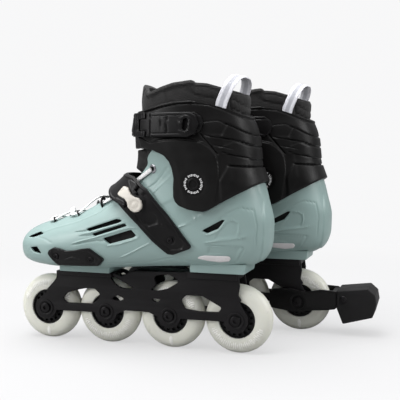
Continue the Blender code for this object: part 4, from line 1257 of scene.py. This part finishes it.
def ankle_strap_mesh():
    outline = rounded(ANKLE_STRAP_SIDE, 3)
    return skin_mesh(CUFF_SECTIONS, 0.4, 3.5, outline, BOTH_SIDES, lip=1.2,
                     lines=[([(-20, 254), (90, 254)], 1.0, -0.5), ([(-20, 272), (90, 272)], 1.0, -0.5)],
                     sideways=-1)


def lever_mesh():
    outline = rounded(LEVER_SIDE, 2.5)
    slot = rounded(FINGER_SLOT, 2)
    lines = [([(33, 244), (33, 280)], 1.0, -0.8), ([(46.5, 252), (46.5, 272)], 0.8, -0.6),
             ([(54, 252), (54, 272)], 0.9, -0.9), ([(34, 252.4), (70, 252.2)], 0.9, -0.7),
             ([(34, 271.8), (70, 272)], 0.9, -0.7)]
    mesh = skin_mesh(CUFF_SECTIONS, 4.3, 4.0, outline, lines=lines, lip=1.4,
                     extra=rim_feature(slot, -2.2, 1.4, 0.9), sideways=-1)
    return boolean(mesh, prism(slot, *OUTER_SIDE), "DIFFERENCE")


def buckle_base_mesh():
    outline = rounded(BUCKLE_BASE_SIDE, 1)
    lines = [([(x, 240), (x, 285)], 0.7, -0.5) for x in (10, 13.5, 21.5)]
    return skin_mesh(CUFF_SECTIONS, 3.7, 3.4, outline, lines=lines, lip=0.9, sideways=-1)


def reflector_mesh():
    return skin_mesh(SHELL_SECTIONS, -0.6, 1.7, rounded(REFLECTOR_SIDE, 3), lip=1.2)


def pull_loop_mesh():
    """A webbing handle from one side of the liner to the other, over its back; it is one woven band."""
    foot_x, foot_z, top_x, top_z = 111.0, 287.0, 124.0, 317.0
    foot_y = side_y(LINER_SECTIONS, foot_x, foot_z) + 2.7
    centre = []
    steps = 72
    for i in range(steps + 1):
        turn = math.pi * i / steps
        lift = math.sin(turn) ** 0.62 if 0 < i < steps else 0.0
        y = -foot_y * math.copysign(abs(math.cos(turn)) ** 0.8, math.cos(turn))
        centre.append(Vector((foot_x + (top_x - foot_x) * lift, y, foot_z + (top_z - foot_z) * lift)))
    for side in (0, -1):
        foot = centre[side].copy()
        ahead = (centre[side] - centre[1 if side == 0 else -2]).normalized()
        down = Vector((foot.x - 3.5, foot.y * 0.985, foot.z - 13))
        centre.insert(0 if side == 0 else len(centre), down)
        centre.insert(1 if side == 0 else len(centre) - 1, (foot + down) / 2 + ahead * 0.3)
    across = Vector((0.97, 0, -0.26)).normalized()
    count, thickness = 12, 1.8
    bm = bmesh.new()
    layer = bm.loops.layers.uv.new("weave")
    rows, along = [], 0.0
    for i, point in enumerate(centre):
        ahead = (centre[min(i + 1, len(centre) - 1)] - centre[max(i - 1, 0)]).normalized()
        out = across.cross(ahead).normalized()
        if i:
            along += (point - centre[i - 1]).length
        ring = []
        for face in (1, -1):
            for k in range(count + 1):
                share = (k / count * 2 - 1) * face
                edge = math.sqrt(max(0.0, 1 - abs(share) ** 8)) * 0.55 + 0.45
                rib = 0.12 * math.cos(share * math.pi * 5)
                offset = face * (thickness / 2 * edge + rib * edge)
                ring.append((point + across * share * 6.5 + out * offset, (share + 1) / 2))
        rows.append(([(bm.verts.new(place), u) for place, u in ring], along))
    size = len(rows[0][0])
    for (low, v_low), (high, v_high) in zip(rows, rows[1:]):
        for k in range(size):
            m = (k + 1) % size
            face = bm.faces.new((low[k][0], high[k][0], high[m][0], low[m][0]))
            corners = ((low[k], v_low), (high[k], v_high), (high[m], v_high), (low[m], v_low))
            for loop, (corner, v) in zip(face.loops, corners):
                loop[layer].uv = (corner[1], v * 0.25)
    bm.faces.new([vert for vert, _ in rows[0][0]])
    bm.faces.new([vert for vert, _ in rows[-1][0]])
    return mesh_of(bm, "pull_loop")


def pivot_mesh(side):
    """Rivet head with a ring groove and a shallow round recess in its middle, and its shaft."""
    shell_y = side_y(SHELL_SECTIONS, *PIVOT)
    head = side_y(CUFF_SECTIONS, *PIVOT) + 0.3
    profile = [
        (0, shell_y - 3.2), (4.6, shell_y - 3.2), (4.6, head), (12.0, head), (12.0, head + 1.3),
        (11.5, head + 1.9), (8.0, head + 2.0), (7.7, head + 0.9), (7.0, head + 0.9), (6.7, head + 2.0),
        (5.8, head + 2.3), (4.6, head + 2.1), (4.2, head + 1.3), (0, head + 1.3),
    ]
    return turned([(radius, side * y) for radius, y in profile], 56, PIVOT, closed=False)


def pivot_marks_mesh(side):
    """Plain light dashes round the rivet head."""
    head = side_y(CUFF_SECTIONS, *PIVOT) + 0.3
    bm = bmesh.new()
    count = 32
    for i in range(count):
        if i % 16 in (4, 12):
            continue
        angle = 2 * math.pi * i / count
        span = 0.62 * 2 * math.pi / count
        corners = []
        low, high = (8.4, 11.0) if i % 2 else (8.8, 10.6)
        for radius, turn in ((low, -span / 2), (high, -span / 2), (high, span / 2), (low, span / 2)):
            corners.append((radius, angle + turn))
        rings = []
        for lift in (1.8, 2.3):
            y = side * (head + lift)
            rings.append([bm.verts.new((PIVOT[0] + r * math.cos(a), y, PIVOT[1] + r * math.sin(a)))
                          for r, a in corners])
        for k in range(4):
            m = (k + 1) % 4
            bm.faces.new((rings[0][k], rings[0][m], rings[1][m], rings[1][k]))
        bm.faces.new(rings[0])
        bm.faces.new(rings[1])
    return mesh_of(bm, "marks")


def mirrored(mesh):
    """The same piece on the inner side of its skate."""
    mesh = mesh.copy()
    mesh.transform(Matrix.Diagonal((1, -1, 1, 1)))
    mesh.flip_normals()
    return mesh


def on_shell(mesh, x, z, outset):
    middle, out = surface_frame(SHELL_SECTIONS, x, z, outset)
    return upright_on(mesh, middle, out)


def lace_rings(route):
    """Rings that carry the lace, turned across it."""
    rings = []
    for x, y, radius, tall in ((*HOOK, 3.4, 1.6), (*EYELET_MIDDLE, 3.3, 1.0), (*EYELET_TOE, 3.3, 1.0)):
        for hand in (1, -1):
            target = Vector((x, y * hand))
            i = min(range(2, len(route) - 2), key=lambda n: (Vector(route[n][:2]) - target).length)
            ahead = (route[i + 2] - route[i - 2]).normalized()
            ring = ring_mesh(radius, 1.3 if tall > 1 else 0.9)
            ring.transform(Matrix.Diagonal((1, 1, tall, 1)))
            across = Vector((0, 0, 1)).cross(ahead).normalized()
            turn = Matrix((across, ahead, across.cross(ahead))).transposed().to_4x4()
            ring.transform(Matrix.Translation(route[i] - Vector((0, 0, 1.0))) @ turn)
            rings.append(ring)
    return joined(*rings)


def grommet_mesh():
    bore = TOP_EYELET_RADIUS
    mesh = turned([(bore, 0.6), (bore, -0.7), (3.3, -1.2), (4.4, -1.1), (5.2, -0.4), (5.3, 0.6)], 36, (0, 0))
    return on_shell(mesh, *TOP_EYELET, 0.0)


def cut_lace_holes(mesh):
    hole = circle(TOP_EYELET, TOP_EYELET_RADIUS, 16)
    return boolean(mesh, prism(hole, *BOTH_SIDES), "DIFFERENCE")


# ================================================================ the pair
def build_pair():
    root = "boots_and_frames"
    shell = cut_lace_holes(shell_mesh())
    liner = liner_mesh()
    route = smooth_route(lace_route(), 0.7)
    slider_screws = [on_shell(screw_mesh(3.4), x, z, 2.4) for x, z in SLIDER_SCREWS]
    strap_screw = on_shell(screw_mesh(3.2), *STRAP_SCREW, 2.4)
    grommet = grommet_mesh()
    reflector = reflector_mesh()
    fixed = [
        ("boot_shell", shell, "shell", ("shell",), "shell_plastic"),
        ("sole_blocks", plinth_meshes(), "shell", (), "shell_plastic"),
        ("frame_body", frame_mesh(), "frame", ("frame",), "frame_black"),
        ("toe_slider", slider_mesh(), "black", ("slider",), "black_plastic"),
        ("slider_screws", joined(*slider_screws), "dark", (), "axle_steel"),
        ("strap_over_instep", strap_mesh(), "black", ("instep_strap",), "black_plastic"),
        ("strap_screw", strap_screw, "dark", (), "axle_steel"),
        ("latch_bracket", bracket_mesh(), "black", (), "black_plastic"),
        ("lace_cord", lace_mesh(route), "lace", ("laces",), "lace"),
        ("lace_rings", lace_rings(route), "dark", (), "axle_steel"),
        ("lace_grommets", joined(grommet, mirrored(grommet)), "steel", (), "bearing_steel"),
        ("reflectors", joined(reflector, mirrored(reflector)), "reflector", (), "latch"),
        ("outer_rivet", pivot_mesh(-1), "black", ("outer_pivot",), "black_plastic"),
        ("inner_rivet", pivot_mesh(1), "black", ("inner_pivot",), "black_plastic"),
        ("rivet_marks", joined(pivot_marks_mesh(-1), pivot_marks_mesh(1)), "marks", (), "latch"),
    ]
    on_cuff = [
        ("ankle_cuff", cuff_mesh(), "cuff", ("cuff",), "black_plastic"),
        ("strap_round_ankle", ankle_strap_mesh(), "black", ("ankle_strap",), "black_plastic"),
        ("buckle_base", buckle_base_mesh(), "black", (), "black_plastic"),
        ("pull_handle", pull_loop_mesh(), "webbing", ("pull_loop",), "webbing"),
    ]
    lever, latch = lever_mesh(), latch_mesh()
    face = FRAME_INSIDE + FRAME_WALL
    for side in SKATES:
        for name, mesh, material, nodes, slot in fixed:
            add(side, name, mesh, material, root, nodes)
        cuff_body = f"{side}_cuff"
        for name, mesh, material, nodes, slot in on_cuff:
            add(side, name, mesh, material, cuff_body, nodes)
        add(side, "buckle_lever", lever, "black", f"{side}_ankle_buckle", ("ankle_buckle",))
        add(side, "latch_lever", latch, "latch", f"{side}_instep_latch", ("instep_latch",))
        bend = (root, cuff_body, row_point(side, 83, 0, 172), row_point(side, 83, 0, 232))
        inner_boot = add(side, "padded_liner", liner, "liner", bend, ("liner",))
        for number, axle in enumerate(AXLES, 1):
            wheel = f"{side}_wheel_{number}"
            add(side, f"wheel_{number}_tyre", tyre_mesh(axle), "tyre", wheel, (f"tyre_{number}",))
            turned_over = 180 * ((number + (side == "right")) % 2)
            add(side, f"wheel_{number}_marks", flank_marks_mesh(axle, turned_over), "tyre_marks", wheel)
            add(side, f"wheel_{number}_core", hub_mesh(axle), "hub", wheel, (f"hub_{number}",))
            add(side, f"wheel_{number}_bearings", bearing_mesh(axle), "steel", wheel,
                (f"bearings_{number}",))
            braked = side == "right" and number == 4
            add(side, f"bolt_{number}", axle_mesh(axle, face + 3.9 if braked else face), "dark", root,
                (f"axle_{number}",))
    add("right", "brake_fork", brake_arm_mesh(), "black", root, ("brake_arm",))
    add("right", "brake_block", brake_pad_mesh(), "rubber", root, ("brake_pad",))
    add("right", "brake_bolts", brake_bolts_mesh(), "dark", root, ())


# ================================================================ studio
BACKGROUND = (0.935, 0.935, 0.94)
FLOOR_FADE = (0.3, 1.0)  # metres out, where the floor turns into background
FLOOR_WHITE = (0.49, 0.488, 0.493)
FLOOR_BOUNCE = 0.36  # how light the floor looks to the object
FLOOR_GLOW = 0.6  # how much of the background's light the floor has under the pair
SKY_STRENGTH = 0.9
CAMERA_PLACE = (293.35, -901.3, 235.0)
CAMERA_YAW, CAMERA_PITCH = 18.1, 3.85  # degrees to the left of +Y, and down
CAMERA_LENS = 67.92


def paper_material():
    """Pale paper, lit by the lamps near the pair and turning into plain background further out."""
    paper = Finish("paper", 0.9)
    paper.shader.inputs["Specular IOR Level"].default_value = 0.1
    connect = paper.tree.links.new
    rays = paper.node("ShaderNodeLightPath").outputs["Is Camera Ray"]
    tone = paper.node("ShaderNodeMix", data_type="RGBA")
    tone.inputs["A"].default_value = (*shade((1, 1, 1), FLOOR_BOUNCE), 1)
    bright = paper.ramp(paper.noise(3, 2), [(0.3, shade(FLOOR_WHITE, 0.995)), (0.7, FLOOR_WHITE)])
    connect(rays, tone.inputs["Factor"])
    connect(bright, tone.inputs["B"])
    paper.colour(tone.outputs["Result"])
    distance = paper.node("ShaderNodeVectorMath", operation="LENGTH")
    connect(paper.place, distance.inputs[0])
    fade = paper.node("ShaderNodeMapRange", interpolation_type="SMOOTHSTEP")
    fade.inputs["From Min"].default_value = FLOOR_FADE[0]
    fade.inputs["From Max"].default_value = FLOOR_FADE[1]
    fade.inputs["To Min"].default_value = FLOOR_GLOW
    connect(distance.outputs["Value"], fade.inputs["Value"])
    share = paper.node("ShaderNodeMath", operation="MULTIPLY")
    connect(fade.outputs["Result"], share.inputs[0])
    connect(rays, share.inputs[1])
    glow = paper.node("ShaderNodeEmission")
    glow.inputs["Color"].default_value = (*BACKGROUND, 1)
    blend = paper.node("ShaderNodeMixShader")
    connect(share.outputs["Value"], blend.inputs["Fac"])
    connect(paper.shader.outputs["BSDF"], blend.inputs[1])
    connect(glow.outputs["Emission"], blend.inputs[2])
    connect(blend.outputs["Shader"], paper.tree.nodes["Material Output"].inputs["Surface"])
    return paper.material


def make_floor():
    """A flat round floor, in metres."""
    radii = [0.3, 0.6, 0.9, 1.2, 1.6, 2.2, 3.0, 5.0, 9.0, 14.0]
    sides = 64
    points, faces = [(0.0, 0.0, 0.0)], []
    for radius in radii:
        points += [(x, y, 0.0) for x, y in circle((0, 0), radius, sides)]
    for i in range(sides):
        faces.append((0, 1 + i, 1 + (i + 1) % sides))
    for ring in range(len(radii) - 1):
        low, high = 1 + ring * sides, 1 + (ring + 1) * sides
        for i in range(sides):
            j = (i + 1) % sides
            faces.append((low + i, high + i, high + j, low + j))
    mesh = mesh_from(points, faces, "paper_floor")
    mesh.shade_smooth()
    mesh.materials.append(paper_material())
    link(bpy.data.objects.new("paper_floor", mesh))


def make_world():
    """Soft light from all round, strongest from above; the camera sees plain background."""
    world = bpy.data.worlds.new("studio")
    bpy.context.scene.world = world
    world.use_nodes = True
    tree = world.node_tree
    connect = tree.links.new
    plain = tree.nodes["Background"]
    seen = tree.nodes.new("ShaderNodeBackground")
    seen.inputs["Color"].default_value = (*BACKGROUND, 1)
    rays = tree.nodes.new("ShaderNodeLightPath")
    mix = tree.nodes.new("ShaderNodeMixShader")
    place = tree.nodes.new("ShaderNodeTexCoord")
    parts = tree.nodes.new("ShaderNodeSeparateXYZ")
    sky = tree.nodes.new("ShaderNodeValToRGB")
    stops = [(0.0, 0.30), (0.5, 0.26), (0.62, 0.34), (0.78, 0.8), (1.0, 1.3)]
    while len(sky.color_ramp.elements) < len(stops):
        sky.color_ramp.elements.new(0.5)
    for element, (position, level) in zip(sky.color_ramp.elements, stops):
        element.position = position
        element.color = (level * 0.98, level * 0.985, level, 1)
    half = tree.nodes.new("ShaderNodeMapRange")
    half.inputs["From Min"].default_value = -1.0
    connect(place.outputs["Generated"], parts.inputs["Vector"])
    connect(parts.outputs["Z"], half.inputs["Value"])
    connect(half.outputs["Result"], sky.inputs["Fac"])
    connect(sky.outputs["Color"], plain.inputs["Color"])
    plain.inputs["Strength"].default_value = SKY_STRENGTH
    connect(rays.outputs["Is Camera Ray"], mix.inputs["Fac"])
    connect(plain.outputs["Background"], mix.inputs[1])
    connect(seen.outputs["Background"], mix.inputs[2])
    connect(mix.outputs["Shader"], tree.nodes["World Output"].inputs["Surface"])


def make_lights():
    """Softboxes: name, place, the point they face (metres), size (metres), power (watts)."""
    for name, place, target, size, power in (
        ("top_softbox", (-0.3, -0.2, 1.6), (0, 0, 0.1), (1.5, 1.2), 34),
        ("front_softbox", (-1.5, -1.4, 0.95), (0, 0, 0.15), (0.9, 0.8), 21),
        ("rear_softbox", (1.6, 0.1, 0.9), (0, 0, 0.15), (0.6, 0.9), 11),
    ):
        light = bpy.data.lights.new(name, "AREA")
        light.shape = "RECTANGLE"
        light.size, light.size_y = size
        light.energy = power
        item = link(bpy.data.objects.new(name, light))
        item.location = place
        item.rotation_euler = (Vector(target) - Vector(place)).to_track_quat("-Z", "Y").to_euler()


def make_camera():
    camera = bpy.data.cameras.new("camera")
    camera.sensor_width = 36.0
    camera.lens = CAMERA_LENS
    camera.clip_start = 0.01
    item = link(bpy.data.objects.new("camera", camera))
    yaw, pitch = math.radians(CAMERA_YAW), math.radians(CAMERA_PITCH)
    ahead = Vector((-math.sin(yaw) * math.cos(pitch), math.cos(yaw) * math.cos(pitch), -math.sin(pitch)))
    item.location = Vector(CAMERA_PLACE) * MM
    item.rotation_euler = ahead.to_track_quat("-Z", "Y").to_euler()
    bpy.context.scene.camera = item
    bpy.context.scene.view_settings.view_transform = "Standard"


build_pair()
make_floor()
make_world()
make_lights()
make_camera()
